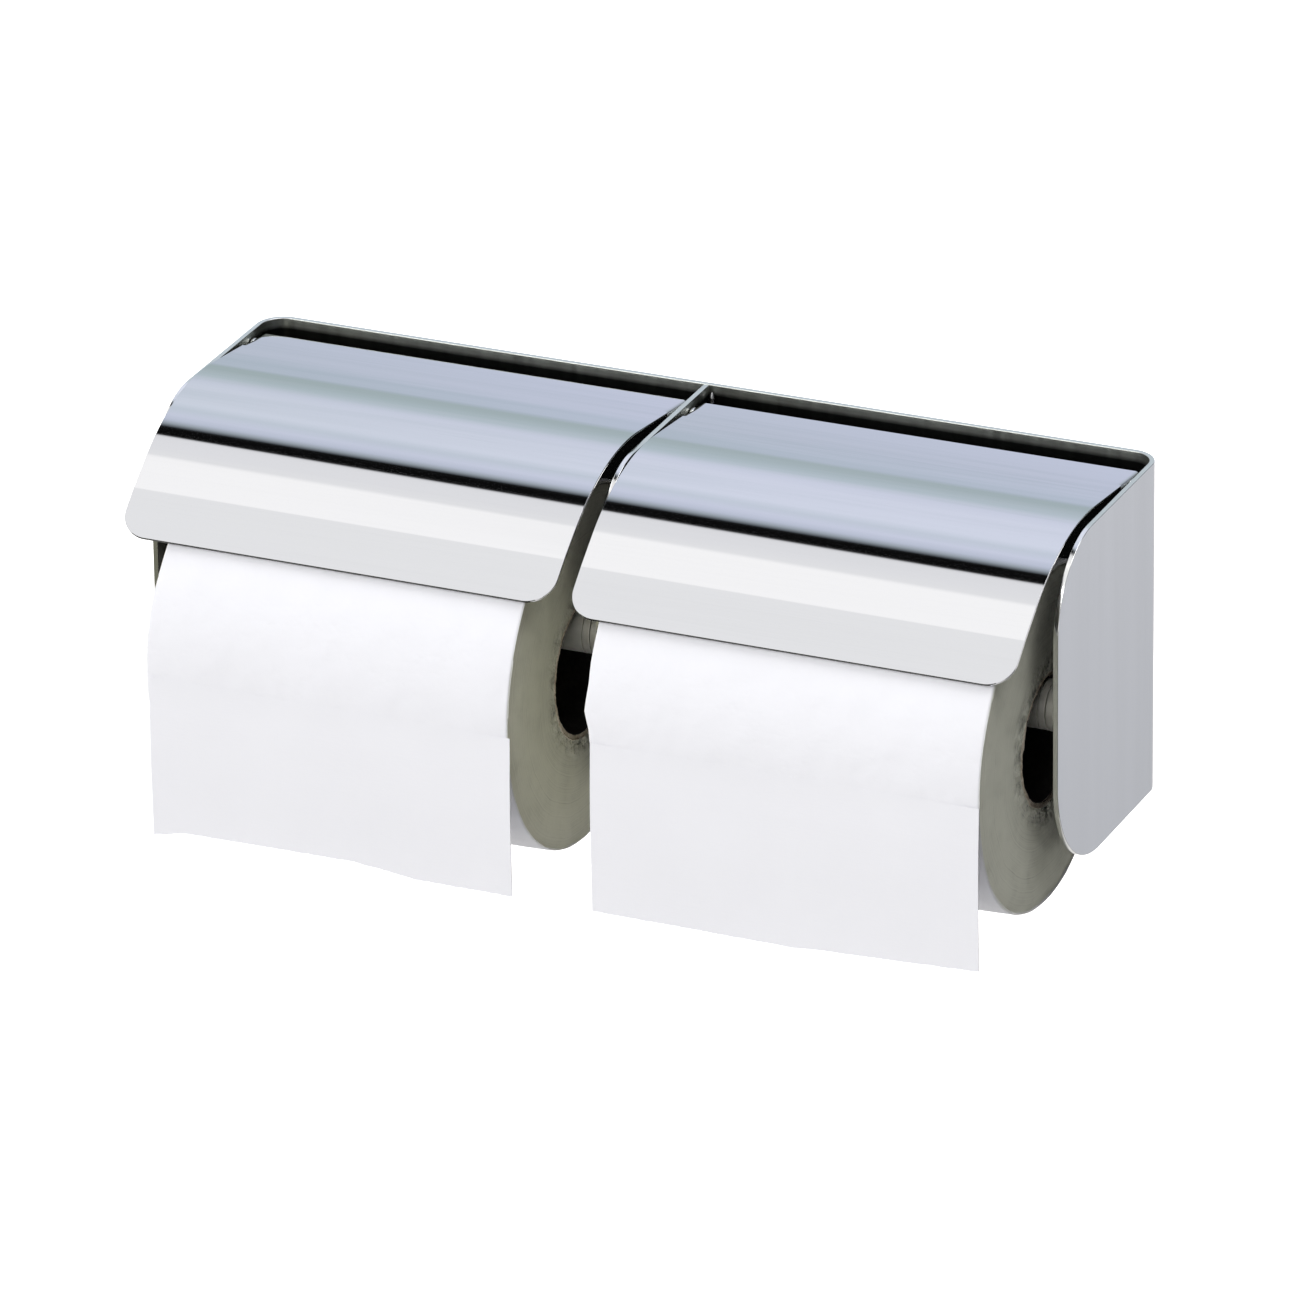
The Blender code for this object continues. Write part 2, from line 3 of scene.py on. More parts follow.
import bmesh
import bpy
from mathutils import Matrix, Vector


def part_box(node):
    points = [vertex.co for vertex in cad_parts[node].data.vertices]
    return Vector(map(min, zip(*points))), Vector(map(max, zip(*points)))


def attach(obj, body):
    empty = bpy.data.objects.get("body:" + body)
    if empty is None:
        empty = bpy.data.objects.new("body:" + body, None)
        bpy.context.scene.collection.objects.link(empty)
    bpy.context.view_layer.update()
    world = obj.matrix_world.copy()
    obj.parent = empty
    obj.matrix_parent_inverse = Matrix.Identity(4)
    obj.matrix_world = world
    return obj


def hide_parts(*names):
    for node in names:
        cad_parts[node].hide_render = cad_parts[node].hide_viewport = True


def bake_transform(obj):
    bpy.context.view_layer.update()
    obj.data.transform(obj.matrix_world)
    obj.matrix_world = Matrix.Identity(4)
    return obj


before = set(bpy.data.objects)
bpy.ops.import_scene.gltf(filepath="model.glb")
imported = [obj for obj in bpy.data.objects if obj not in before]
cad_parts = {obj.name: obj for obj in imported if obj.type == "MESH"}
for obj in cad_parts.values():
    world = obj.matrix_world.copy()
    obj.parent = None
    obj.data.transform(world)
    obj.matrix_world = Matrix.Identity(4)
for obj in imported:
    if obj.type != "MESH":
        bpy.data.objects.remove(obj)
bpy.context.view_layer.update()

housingLow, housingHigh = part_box("housing")
hair = 0.000001  # places closer than this are the same place
halfWidth = housingHigh[0] - hair
top = housingHigh[2] - hair
depth = -housingLow[1]
quarterTurn = math.pi / 2

sides = ("left", "right")


# Working in edit mode.

def leaveAll():
    if bpy.context.mode != "OBJECT":
        bpy.ops.object.mode_set(mode="OBJECT")
    bpy.ops.object.select_all(action="DESELECT")


def hold(piece):
    leaveAll()
    piece.select_set(True)
    bpy.context.view_layer.objects.active = piece


def named(name):
    # names the piece that was just added
    piece = bpy.context.active_object
    piece.name = name
    piece.data.name = name
    return piece


def pickAll():
    bpy.ops.mesh.select_all(action="SELECT")


def pickPoints():
    bpy.context.tool_settings.mesh_select_mode = (True, False, False)


def openPiece(piece):
    hold(piece)
    bpy.ops.object.mode_set(mode="EDIT")
    pickPoints()
    pickAll()


def startPlane(name, width, length, *materials):
    # a flat sheet in X and Y, centred on the origin, left open in edit mode
    leaveAll()
    bpy.ops.mesh.primitive_plane_add(size=1, location=(0, 0, 0))
    piece = named(name)
    for material in materials:
        piece.data.materials.append(material)
    openPiece(piece)
    bpy.ops.transform.resize(value=(width, length, 1), center_override=(0, 0, 0))
    return piece


def pick(piece, test):
    # selects the points whose place passes the test, with the edges and faces between them
    bpy.ops.mesh.select_all(action="DESELECT")
    mesh = bmesh.from_edit_mesh(piece.data)
    for vert in mesh.verts:
        if test(vert.co):
            vert.select_set(True)
    mesh.select_flush(True)
    bmesh.update_edit_mesh(piece.data)


def pickEdges(piece, test):
    # selects the edges whose two ends pass the test together
    bpy.ops.mesh.select_all(action="DESELECT")
    bpy.context.tool_settings.mesh_select_mode = (False, True, False)
    mesh = bmesh.from_edit_mesh(piece.data)
    for edge in mesh.edges:
        if test(edge.verts[0].co, edge.verts[1].co):
            edge.select_set(True)
    bmesh.update_edit_mesh(piece.data)


def near(a, b):
    return abs(a - b) < hair * 10


def pull(x=0, y=0, z=0):
    bpy.ops.mesh.extrude_region_move(TRANSFORM_OT_translate={"value": (x, y, z)})


def roundCorner(piece, test, radius, steps):
    pick(piece, test)
    bpy.ops.mesh.bevel(
        offset=radius, offset_type="OFFSET", segments=steps, affect="VERTICES", profile=0.5
    )


def mergeClose():
    pickAll()
    bpy.ops.mesh.remove_doubles(threshold=hair)


def lookOut():
    pickAll()
    bpy.ops.mesh.normals_make_consistent(inside=False)


def faceOut(piece, outward):
    # turns an open sheet over where the face nearest the origin looks the wrong way
    lookOut()
    mesh = bmesh.from_edit_mesh(piece.data)
    mesh.normal_update()
    face = min(mesh.faces, key=lambda f: f.calc_center_median().length)
    if face.normal.dot(Vector(outward)) < 0:
        bpy.ops.mesh.flip_normals()


def paint(piece, slot):
    # gives the selected faces the piece's material in that slot
    piece.active_material_index = slot
    bpy.ops.object.material_slot_assign()


def stamp(piece, turn=(0, 0, 0), place=(0, 0, 0)):
    # turns and moves a piece, and puts the turn and the place into its mesh
    hold(piece)
    piece.rotation_euler = turn
    piece.location = place
    bpy.ops.object.transform_apply(location=True, rotation=True, scale=True)


def change(piece, kind, **values):
    # adds one modifier and applies it
    step = piece.modifiers.new(kind.lower(), kind)
    for key, value in values.items():
        setattr(step, key, value)
    hold(piece)
    bpy.ops.object.modifier_apply(modifier=step.name)


def thicken(piece, thickness, innerSlot=0, rimSlot=0):
    # the sheet keeps its outer face and grows inwards
    change(
        piece,
        "SOLIDIFY",
        thickness=thickness,
        offset=-1,
        use_even_offset=True,
        material_offset=innerSlot,
        material_offset_rim=rimSlot,
    )


drillForm = {"sides": 48, "length": 0.01}


def drillAlong(piece, axis, place, radius, length=drillForm["length"]):
    leaveAll()
    bpy.ops.mesh.primitive_cylinder_add(
        vertices=drillForm["sides"],
        radius=radius,
        depth=length,
        location=place,
        rotation=(0, quarterTurn, 0) if axis == "X" else (quarterTurn, 0, 0),
    )
    drill = bpy.context.active_object
    change(piece, "BOOLEAN", operation="DIFFERENCE", object=drill, solver="EXACT")
    bpy.data.objects.remove(drill, do_unlink=True)


def softenEdges(piece, width, segments=3, angle=35):
    limit = math.radians(angle)
    change(piece, "BEVEL", width=width, segments=segments, limit_method="ANGLE", angle_limit=limit)


def smooth(piece, angle=30):
    hold(piece)
    bpy.ops.object.shade_smooth_by_angle(angle=math.radians(angle))
    # the wide faces set the normals, so the narrow bevels don't tilt their shine
    change(piece, "WEIGHTED_NORMAL", weight=90, keep_sharp=True)


def turnOutline(name, outline, steps, place, closed=False):
    # (along X, radius) points joined one by one, then spun once about X
    leaveAll()
    bpy.ops.mesh.primitive_plane_add(location=(0, 0, 0))
    piece = named(name)
    openPiece(piece)
    bpy.ops.mesh.merge(type="CENTER")
    pickAll()
    before = outline[0]
    bpy.ops.transform.translate(value=(before[0], 0, before[1]))
    for point in outline[1:] + (outline[:1] if closed else []):
        step = (point[0] - before[0], 0, point[1] - before[1])
        bpy.ops.mesh.extrude_vertices_move(TRANSFORM_OT_translate={"value": step})
        before = point
    mergeClose()
    pickAll()
    bpy.ops.mesh.spin(steps=steps, angle=math.tau, center=(0, 0, 0), axis=(1, 0, 0))
    mergeClose()
    lookOut()
    stamp(piece, place=place)
    return piece


def arcPoints(centre, reach, start, end, steps):
    # reach is the radius, or one for each axis
    wide, high = reach
    found = []
    for step in range(steps + 1):
        angle = math.radians(start + (end - start) * step / steps)
        found.append((centre[0] + wide * math.cos(angle), centre[1] + high * math.sin(angle)))
    return found


def weigh(piece, name, weight):
    # a vertex group whose weights follow the points' places
    group = piece.vertex_groups.new(name=name)
    for vert in piece.data.vertices:
        group.add([vert.index], weight(vert.co), "REPLACE")


def shift(piece, group, direction, distance):
    # moves a group's points one way, by the distance times their weight
    change(
        piece, "DISPLACE", direction=direction, strength=distance, mid_level=0, vertex_group=group
    )


def dent(piece, name, size, strength, group="", direction="NORMAL", inwards=True):
    cloud = bpy.data.textures.new(name, "CLOUDS")
    cloud.noise_scale = size
    cloud.noise_depth = 2
    change(
        piece,
        "DISPLACE",
        texture=cloud,
        texture_coords="LOCAL",
        direction=direction,
        strength=strength,
        mid_level=1 if inwards else 0.5,
        vertex_group=group,
    )


def putIn(piece, material, body, slotName, *nodes):
    if not piece.data.materials:
        piece.data.materials.append(material)
    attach(piece, body)
    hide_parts(*nodes)


def makeTurned(
    name, node, body, outline, steps, place, material, bevel=None, angle=30, closed=False
):
    piece = turnOutline(name, outline, steps, place, closed)
    if bevel:
        softenEdges(piece, *bevel)
    smooth(piece, angle)
    putIn(piece, material, body, "chrome", node)


def middleOf(low, high):
    return tuple((a + b) / 2 for a, b in zip(low, high))


# Materials.

white = (1, 1, 1)


def grey(tone):
    return (tone, tone, tone)


def shade(colour, amount):
    return tuple(c * amount for c in colour)


class Nodes:
    # a node tree, joined by short calls
    def __init__(self, tree):
        self.tree = tree

    def node(self, kind, **values):
        made = self.tree.nodes.new(kind)
        for key, value in values.items():
            setattr(made, key, value)
        return made

    def give(self, socket, value):
        # an output is joined to the socket, and a number or a colour is written into it
        if isinstance(value, bpy.types.NodeSocket):
            self.tree.links.new(value, socket)
        else:
            socket.default_value = value

    def run(self, kind, out, inputs, **values):
        made = self.node(kind, **values)
        for name, value in inputs.items():
            self.give(made.inputs[name], value)
        return made.outputs[out]

    def axes(self, vector):
        made = self.node("ShaderNodeSeparateXYZ")
        self.give(made.inputs["Vector"], vector)
        return tuple(made.outputs)

    def maths(self, operation, first, second=0):
        return self.run("ShaderNodeMath", "Value", {0: first, 1: second}, operation=operation)

    def sum(self, first, second):
        return self.maths("ADD", first, second)

    def part(self, first, second):
        return self.maths("MULTIPLY", first, second)

    def between(self, value, low, high, fromLow=0.3, fromHigh=0.7, way="LINEAR"):
        # carries a value over from one range to another
        inputs = {"Value": value, "From Min": fromLow, "From Max": fromHigh}
        inputs.update({"To Min": low, "To Max": high})
        return self.run("ShaderNodeMapRange", "Result", inputs, interpolation_type=way)

    def blend(self, value, stops):
        made = self.node("ShaderNodeValToRGB")
        places = made.color_ramp.elements
        while len(places) < len(stops):
            places.new(0.5)
        for element, (position, colour) in zip(places, sorted(stops)):
            element.position = position
        for element, (position, colour) in zip(places, sorted(stops)):
            element.color = (*colour, 1)
        self.give(made.inputs["Fac"], value)
        return made.outputs["Color"]

    def mix(self, amount, first, second, way="MIX"):
        inputs = {"Factor": amount, "A": first, "B": second}
        return self.run("ShaderNodeMix", "Result", inputs, data_type="RGBA", blend_type=way)

    def times(self, first, second):
        return self.mix(1, first, second, "MULTIPLY")

    def mixShaders(self, amount, first, second):
        return self.run("ShaderNodeMixShader", "Shader", {0: amount, 1: first, 2: second})


class Finish(Nodes):
    # one material, whose patterns follow the object's own places
    def __init__(self, name):
        self.material = bpy.data.materials.new(name)
        self.material.use_nodes = True
        super().__init__(self.material.node_tree)
        self.shader = self.tree.nodes["Principled BSDF"]
        self.place = self.node("ShaderNodeTexCoord").outputs["Object"]

    def spread(self, scale, centre=(0, 0, 0)):
        start = [-c * s for c, s in zip(centre, scale)]
        inputs = {"Vector": self.place, "Location": start, "Scale": scale}
        return self.run("ShaderNodeMapping", "Vector", inputs)

    def noise(self, scale, detail=2, rough=0.5):
        inputs = {"Vector": self.spread(scale), "Scale": 1, "Detail": detail, "Roughness": rough}
        return self.run("ShaderNodeTexNoise", "Fac", inputs)

    def both(self, first, share, second):
        return self.sum(self.part(first, share), self.part(second, 1 - share))

    def tones(self, value, colour, stops):
        # how much of the colour there is at each of the value's stops
        return self.blend(value, [(stop, shade(colour, amount)) for stop, amount in stops])

    def bump(self, height, distance, after=None):
        inputs = {"Height": height, "Distance": distance, "Strength": 1}
        if after:
            inputs["Normal"] = after
        return self.run("ShaderNodeBump", "Normal", inputs)

    def done(self, inputs):
        for name, value in inputs.items():
            self.give(self.shader.inputs[name], value)
        return self.material

    def metal(self, tone, rough, normal=None, amount=1):
        inputs = {"Base Color": tone, "Roughness": rough, "Metallic": amount}
        if normal:
            inputs["Normal"] = normal
        return self.done(inputs)


# Each pattern is its scale along X, Y and Z, then its detail and its roughness.

hoodFinish = {
    "colour": (0.765, 0.77, 0.79),
    "tones": [(0.35, 0.985), (0.5, 1), (0.65, 1.005)],
    "roughness": (0.035, 0.055),
    "grain": ((12, 2600, 2600), 3, 0.6),  # fine lines along the hood's width
    "grainShare": 0.45,
    "streak": ((5, 210, 210), 4, 0.65),
    "wave": ((6, 26, 26), 1),
    "streakHeight": 0.0000007,
    "waveHeight": 0.00002,
    # the flat and the bend show more of the sheet's streaks than the front flap
    "cloudyFrom": (-0.078, -0.066),
    "cloudy": [(0.32, (0.93, 0.945, 0.94)), (0.5, (0.985, 0.985, 0.985)), (0.66, white)],
    "leftReflectionTint": (0.925, 0.945, 0.915),  # painted reflection: the hood is painted darker and greener towards its left end
    "leftEnds": 0.04,
    "bendReflectionTint": (0.86, 0.91, 0.89),  # painted reflection: a greenish darker band where the bend begins
    "bendMarkDepth": 0.043,
    "bendMarkReach": 0.012,
    "bendMarkFull": 0.45,  # the share of the reach where it's at its full tone
    "bendMarkWander": 0.02,
}


def makeHoodSteel():
    form = hoodFinish
    f = Finish("hoodSteel")
    grain, streak, wave = (f.noise(*form[name]) for name in ("grain", "streak", "wave"))
    tone = f.tones(f.both(grain, form["grainShare"], streak), form["colour"], form["tones"])
    x, y, z = f.axes(f.place)
    # painted reflection: a greenish band across the hood where the bend begins
    wander = f.part(f.sum(streak, -0.5), form["bendMarkWander"])
    away = f.maths("ABSOLUTE", f.sum(f.sum(y, form["bendMarkDepth"]), wander))
    marked = [(0, form["bendReflectionTint"]), (form["bendMarkFull"], form["bendReflectionTint"]), (1, white)]
    mark = f.blend(f.between(away, 0, 1, 0, form["bendMarkReach"]), marked)
    # painted reflection, darker and greener towards the left end
    leftReflectionMask = f.between(x, 0, 1, -halfWidth, form["leftEnds"])
    ends = f.blend(leftReflectionMask, [(0, form["leftReflectionTint"]), (1, white)])
    behind = f.between(y, 0, 1, *form["cloudyFrom"])
    clouded = f.mix(behind, (*white, 1), f.times(f.blend(streak, form["cloudy"]), ends))
    normal = f.bump(streak, form["streakHeight"], f.bump(wave, form["waveHeight"]))
    tone = f.times(f.times(tone, mark), clouded)
    return f.metal(tone, f.between(grain, *form["roughness"]), normal)


housingFinish = {
    "colour": (0.62, 0.645, 0.72),
    "tones": [(0.36, 0.965), (0.5, 1), (0.64, 1.03)],
    "roughness": (0.08, 0.14),
    "grain": ((2200, 2200, 14), 3, 0.6),  # fine upright lines on every plate
    "grainShare": 0.4,
    "streak": ((70, 70, 4), 4, 0.6),
    "wave": ((18, 18, 18), 1),
    "smudge": ((60, 60, 60), 5, 0.6),
    "smudgeRough": (0, 0.05, 0.5, 0.75),
    "streakHeight": 0.0000025,
    "waveHeight": 0.00003,
    "lowShadeTone": 0.88,  # painted shade: the plates are painted a little darker low down
}


def makeHousingSteel():
    form = housingFinish
    f = Finish("housingSteel")
    names = ("grain", "streak", "wave", "smudge")
    grain, streak, wave, smudge = (f.noise(*form[name]) for name in names)
    tone = f.tones(f.both(grain, form["grainShare"], streak), form["colour"], form["tones"])
    x, y, z = f.axes(f.place)
    # painted shade, darker towards the bottom of the plates
    paintedLowShade = f.blend(f.between(z, 0, 1, -top, top), [(0, grey(form["lowShadeTone"])), (1, white)])
    rough = f.sum(f.between(grain, *form["roughness"]), f.between(smudge, *form["smudgeRough"]))
    normal = f.bump(streak, form["streakHeight"], f.bump(wave, form["waveHeight"]))
    return f.metal(f.times(tone, paintedLowShade), rough, normal)


insideFinish = {
    # the hoods' undersides are dull, and their front edges are painted dark, a painted shadow line
    # against the roll
    "hoodInside": {"colour": (0.26, 0.26, 0.25), "roughness": (0.30, 0.34)},
    "hoodShadowLip": {"colour": (0.045, 0.045, 0.04), "roughness": (0.18, 0.32)},
    # the bays' walls are painted dark below their top edge, a painted shade, with a bright strip
    # along that edge, a painted highlight
    "bayInside": {"colour": (0.50, 0.52, 0.48), "roughness": (0.30, 0.42)},
    "bayPaintedShade": 0.05,
    "bayPaintedStrip": (0.0032, 0.0019),  # below the top edge, where it's dark and where it's bright
    "tones": [(0.35, 0.92), (0.65, 1.06)],
    "grain": ((900, 900, 60), 4, 0.6),
    "smudge": ((40, 40, 40), 4, 0.6),
    "smudgeHeight": 0.000004,
}


def makeInsideSteel(name):
    form = insideFinish
    f = Finish(name)
    grain, smudge = f.noise(*form["grain"]), f.noise(*form["smudge"])
    tone = f.tones(smudge, form[name]["colour"], form["tones"])
    if name == "bayInside":
        # painted shade on the bays' walls, and a painted highlight in a strip along their top edge
        dark, bright = (top - below for below in form["bayPaintedStrip"])
        x, y, z = f.axes(f.place)
        paintedShadeAndStrip = f.blend(f.between(z, 0, 1, dark, bright), [(0, grey(form["bayPaintedShade"])), (1, white)])
        tone = f.times(tone, paintedShadeAndStrip)
    normal = f.bump(smudge, form["smudgeHeight"])
    return f.metal(tone, f.between(grain, *form[name]["roughness"]), normal)


chromeFinish = {
    "platedChrome": {"colour": (0.80, 0.80, 0.80), "roughness": (0.05, 0.10), "metal": 1},
    "spindleChrome": {"colour": (0.86, 0.85, 0.79), "roughness": (0.34, 0.40), "metal": 0.6},
    "tones": [(0.3, 0.95), (0.6, 1)],
    "lines": ((2400, 90, 90), 3),  # turning marks round the spindle
    "lineHeight": 0.0000015,
    "smudge": ((120, 120, 120), 5, 0.6),
    "smudgeRough": (0, 0.06, 0.5, 0.75),
}


def makeChrome(name):
    form = chromeFinish
    own = form[name]
    f = Finish(name)
    lines, smudge = f.noise(*form["lines"]), f.noise(*form["smudge"])
    rough = f.sum(f.between(lines, *own["roughness"]), f.between(smudge, *form["smudgeRough"]))
    tone = f.tones(smudge, own["colour"], form["tones"])
    return f.metal(tone, rough, f.bump(lines, form["lineHeight"]), own["metal"])


plainFinish = {
    # the sheet's cut edges, ground bright
    "edgeSteel": {
        "grain": ((1800, 300, 300), 3),
        "roughness": (0.07, 0.16),
        "tones": [(0.35, (0.846, 0.846, 0.8366)), (0.65, (0.90, 0.90, 0.89))],
    },
    "drawnSpringSteel": {
        "grain": ((1500, 1500, 1500), 3),
        "roughness": (0.28, 0.42),
        "tones": [(0.3, (0.38, 0.37, 0.36)), (0.7, (0.48, 0.48, 0.49))],
    },
    # a small bead, duller than the sheet and a little blued by the heat
    "weldBead": {
        "grain": ((500, 500, 1600), 3),
        "height": 0.00003,
        "roughness": (0.16, 0.32),
        "tones": [(0.3, (0.50, 0.49, 0.50)), (0.55, (0.66, 0.66, 0.68)), (0.7, (0.72, 0.68, 0.62))],
    },
}


def makePlainMetal(name):
    form = plainFinish[name]
    f = Finish(name)
    grain = f.noise(*form["grain"])
    normal = f.bump(grain, form["height"]) if "height" in form else None
    return f.metal(f.blend(grain, form["tones"]), f.between(grain, *form["roughness"]), normal)


paperFinish = {
    "colour": (0.935, 0.935, 0.975),
    "tones": [(0.3, 0.985), (0.7, 1)],
    "cloud": ((45, 45, 45), 2),
    "crepe": ((260, 1700, 1700), 2),  # fine ridges along the roll's width
    "crepeHeight": 0.00003,
    "fibre": ((900, 900, 900), 4, 0.65),
    "fibreHeight": 0.00003,
    # the wound plies' edges, painted darker and more olive than the paper, the left end darker than
    # the right: painted shade
    "endColourAndShade": {"left": (0.72, 0.71, 0.60), "right": (0.88, 0.885, 0.765)},
    "endTones": [(0.1, 0.4), (0.36, 0.84), (0.5, 0.97), (0.62, 1), (0.95, 1.1)],
    "endFrom": (0.5, 0.9),  # how far a face has to look sideways
    "ply": 2300,  # per metre of radius
    "plyDetail": 3,
    "plyShare": 0.5,
    "plyHeight": 0.000012,
    "wobble": ((70, 70, 70), 2),
    "wobbleReach": 0.0016,
    "pressed": ((110, 110, 110), 3, 0.55),  # shallow dents in the ends, painted darker where they sink: painted shade
    "pressedHeight": 0.0006,
    "crumple": ((300, 210, 210), 3, 0.6),  # folds in the plies round the core, painted darker in their creases and lighter on their ridges: painted shade and painted highlight
    "crumpleMiddle": 0.52,
    "crumpleHeight": 0.003,
    "crumpleDepthAndShade": 2.2,
    "crumpleReach": (0.0205, 0.027),
    "shader": {"Roughness": 0.92, "Sheen Weight": 0.08, "Specular IOR Level": 0.25},
}


def makeTissue(name, side="", centre=None):
    form = paperFinish
    f = Finish(name)
    crepe, fibre, cloud = (f.noise(*form[name]) for name in ("crepe", "fibre", "cloud"))
    tone = f.tones(cloud, form["colour"], form["tones"])
    normal = f.bump(fibre, form["fibreHeight"], f.bump(crepe, form["crepeHeight"]))
    if centre:
        # rings of ply edges round the roll's own axis
        wide, high = f.axes(f.spread((1, 1, 1), centre))[1:]
        squares = f.sum(f.part(wide, wide), f.part(high, high))
        wobble = f.part(f.noise(*form["wobble"]), form["wobbleReach"])
        radius = f.sum(f.maths("POWER", squares, 0.5), wobble)
        rings = {"W": radius, "Scale": form["ply"], "Detail": form["plyDetail"]}
        ring = f.run("ShaderNodeTexNoise", "Fac", rings, noise_dimensions="1D")
        pressed, folds = f.noise(*form["pressed"]), f.noise(*form["crumple"])
        nearCore = f.between(radius, form["crumpleDepthAndShade"], 0, *form["crumpleReach"])
        crumple = f.part(f.sum(folds, -form["crumpleMiddle"]), nearCore)
        height = f.sum(f.both(ring, form["plyShare"], pressed), crumple)
        # the plies' tone follows the heights of their bump: dents and creases painted darker (painted
        # shade), the folds' ridges lighter (painted highlight)
        plies = f.tones(height, form["endColourAndShade"][side], form["endTones"])
        face = f.axes(f.node("ShaderNodeNewGeometry").outputs["True Normal"])
        sideways = f.between(f.maths("ABSOLUTE", face[0]), 0, 1, *form["endFrom"])
        tone = f.mix(sideways, tone, plies)
        for pattern, size in ((ring, "ply"), (pressed, "pressed"), (crumple, "crumple")):
            normal = f.bump(pattern, form[f"{size}Height"], normal)
    return f.done({"Base Color": tone, "Normal": normal, **form["shader"]})


cardFinish = {
    "stops": (0.36, 0.5, 0.66),
    "coreBoard": ((0.34, 0.27, 0.20), (0.62, 0.54, 0.44), (0.85, 0.78, 0.68)),
    # the bore is painted nearly black: painted shade deep inside the core
    "coreBoreShade": ((0.012, 0.01, 0.009), (0.02, 0.017, 0.015), (0.035, 0.03, 0.026)),
    "fibre": ((700, 700, 700), 5, 0.7),
    "fibreShare": 0.6,
    "fibreHeight": 0.00008,
    "blotch": ((90, 90, 90), 3),
    "roughness": 0.85,
}


def makeCardboard(name):
    form = cardFinish
    f = Finish(name)
    fibre, blotch = f.noise(*form["fibre"]), f.noise(*form["blotch"])
    tone = f.blend(f.both(fibre, form["fibreShare"], blotch), list(zip(form["stops"], form[name])))
    normal = f.bump(fibre, form["fibreHeight"])
    return f.done({"Base Color": tone, "Normal": normal, "Roughness": form["roughness"]})


hoodSteel = makeHoodSteel()
housingSteel = makeHousingSteel()
hoodInside, hoodShadowLip, bayInside = map(makeInsideSteel, ("hoodInside", "hoodShadowLip", "bayInside"))
platedChrome, spindleChrome = map(makeChrome, ("platedChrome", "spindleChrome"))
edgeSteel, springSteel, weldSteel = map(makePlainMetal, plainFinish)
coreBoard, coreBoreShade = map(makeCardboard, ("coreBoard", "coreBoreShade"))
tailPaper = makeTissue("tailPaper")
print("materials made")


# The housing.

housingForm = {
    "sheet": 0.0015,
    "rearBend": 0.008,
    "bendSteps": 16,
    "topCorner": 0.025,
    "bottomCorner": 0.031,
    "cornerSteps": 28,
    "holeRadius": 0.00275,
    "holeSideInset": 0.025,
    "holeEdgeInset": 0.020,
    "edgeRound": 0.0002,
}


def roundFront(piece, atFront, height):
    # the upper and the lower front corner of a plate, whose height runs along that axis
    steps = housingForm["cornerSteps"]
    upper = lambda p: atFront(p) and p[height] > 0
    lower = lambda p: atFront(p) and near(p[height], -top)
    roundCorner(piece, upper, housingForm["topCorner"], steps)
    roundCorner(piece, lower, housingForm["bottomCorner"], steps)


def makeHousing():
    form = housingForm
    bend = form["rearBend"]
    flat = halfWidth - bend
    piece = startPlane("housingSheet", 2 * flat, 2 * top, housingSteel, bayInside, edgeSteel)
    stamp(piece, turn=(quarterTurn, 0, 0))
    openPiece(piece)
    for direction in (1, -1):
        edge = direction * flat
        pick(piece, lambda p: near(p.x, edge))
        bpy.ops.mesh.spin(
            steps=form["bendSteps"],
            angle=direction * quarterTurn,
            center=(edge, -bend, 0),
            axis=(0, 0, 1),
        )
        pick(piece, lambda p: near(p.x, direction * halfWidth) and near(p.y, -bend))
        pull(y=bend - depth)
    for side in (halfWidth, -halfWidth):
        roundFront(piece, lambda p: near(p.x, side) and near(p.y, -depth), 2)
    mergeClose()
    faceOut(piece, (0, 1, 0))
    thicken(piece, form["sheet"], innerSlot=1, rimSlot=2)
    for x in (form["holeSideInset"] - halfWidth, halfWidth - form["holeSideInset"]):
        for z in (form["holeEdgeInset"] - top, top - form["holeEdgeInset"]):
            drillAlong(piece, "Y", (x, 0, z), form["holeRadius"])
    softenEdges(piece, form["edgeRound"])
    smooth(piece)
    putIn(piece, housingSteel, "housing", "polished_stainless", "housing")


makeHousing()
print("housing made")


# The partition and its weld beads.

partitionForm = {"gap": 0.0003, "pinHole": 0.0018, "edgeRound": 0.0002}
pinPlace = {"depth": 0.0145, "drop": 0.0044}
pinAxis = (0, -pinPlace["depth"], top - pinPlace["drop"])


def makePartition():
    sheet = housingForm["sheet"]
    rear = sheet + partitionForm["gap"]
    piece = startPlane("partitionPlate", depth - rear, 2 * top, bayInside, edgeSteel)
    bpy.ops.transform.translate(value=((depth + rear) / 2, 0, 0))
    roundFront(piece, lambda p: near(p.x, depth), 1)
    # stood up across the housing, with its long side forward
    stamp(piece, turn=(quarterTurn, 0, -quarterTurn), place=(sheet / 2, 0, 0))
    openPiece(piece)
    faceOut(piece, (1, 0, 0))
    thicken(piece, sheet, rimSlot=1)
    drillAlong(piece, "X", pinAxis, partitionForm["pinHole"])
    softenEdges(piece, partitionForm["edgeRound"])
    smooth(piece)
    putIn(piece, housingSteel, "housing", "polished_stainless", "partition")


beadForm = {"width": 0.002, "length": 0.006, "lump": 0.0012, "roughness": 0.0004, "rings": (32, 20)}


def makeWeldBeads():
    around, along = beadForm["rings"]
    wide = beadForm["width"]
    for side in sides:
        for end in ("top", "bottom"):
            node = f"weld_tack_{side}_{end}"
            leaveAll()
            bpy.ops.mesh.primitive_uv_sphere_add(segments=around, ring_count=along, radius=0.5)
            bead = named(f"weldBead_{side}_{end}")
            bead.scale = (wide, wide, beadForm["length"])
            stamp(bead, place=middleOf(*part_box(node)))
            dent(bead, bead.name, beadForm["lump"], beadForm["roughness"])
            smooth(bead, 60)
            putIn(bead, weldSteel, "housing", "polished_stainless", node)


makePartition()
makeWeldBeads()
print("partition and weld beads made")


# The hoods.

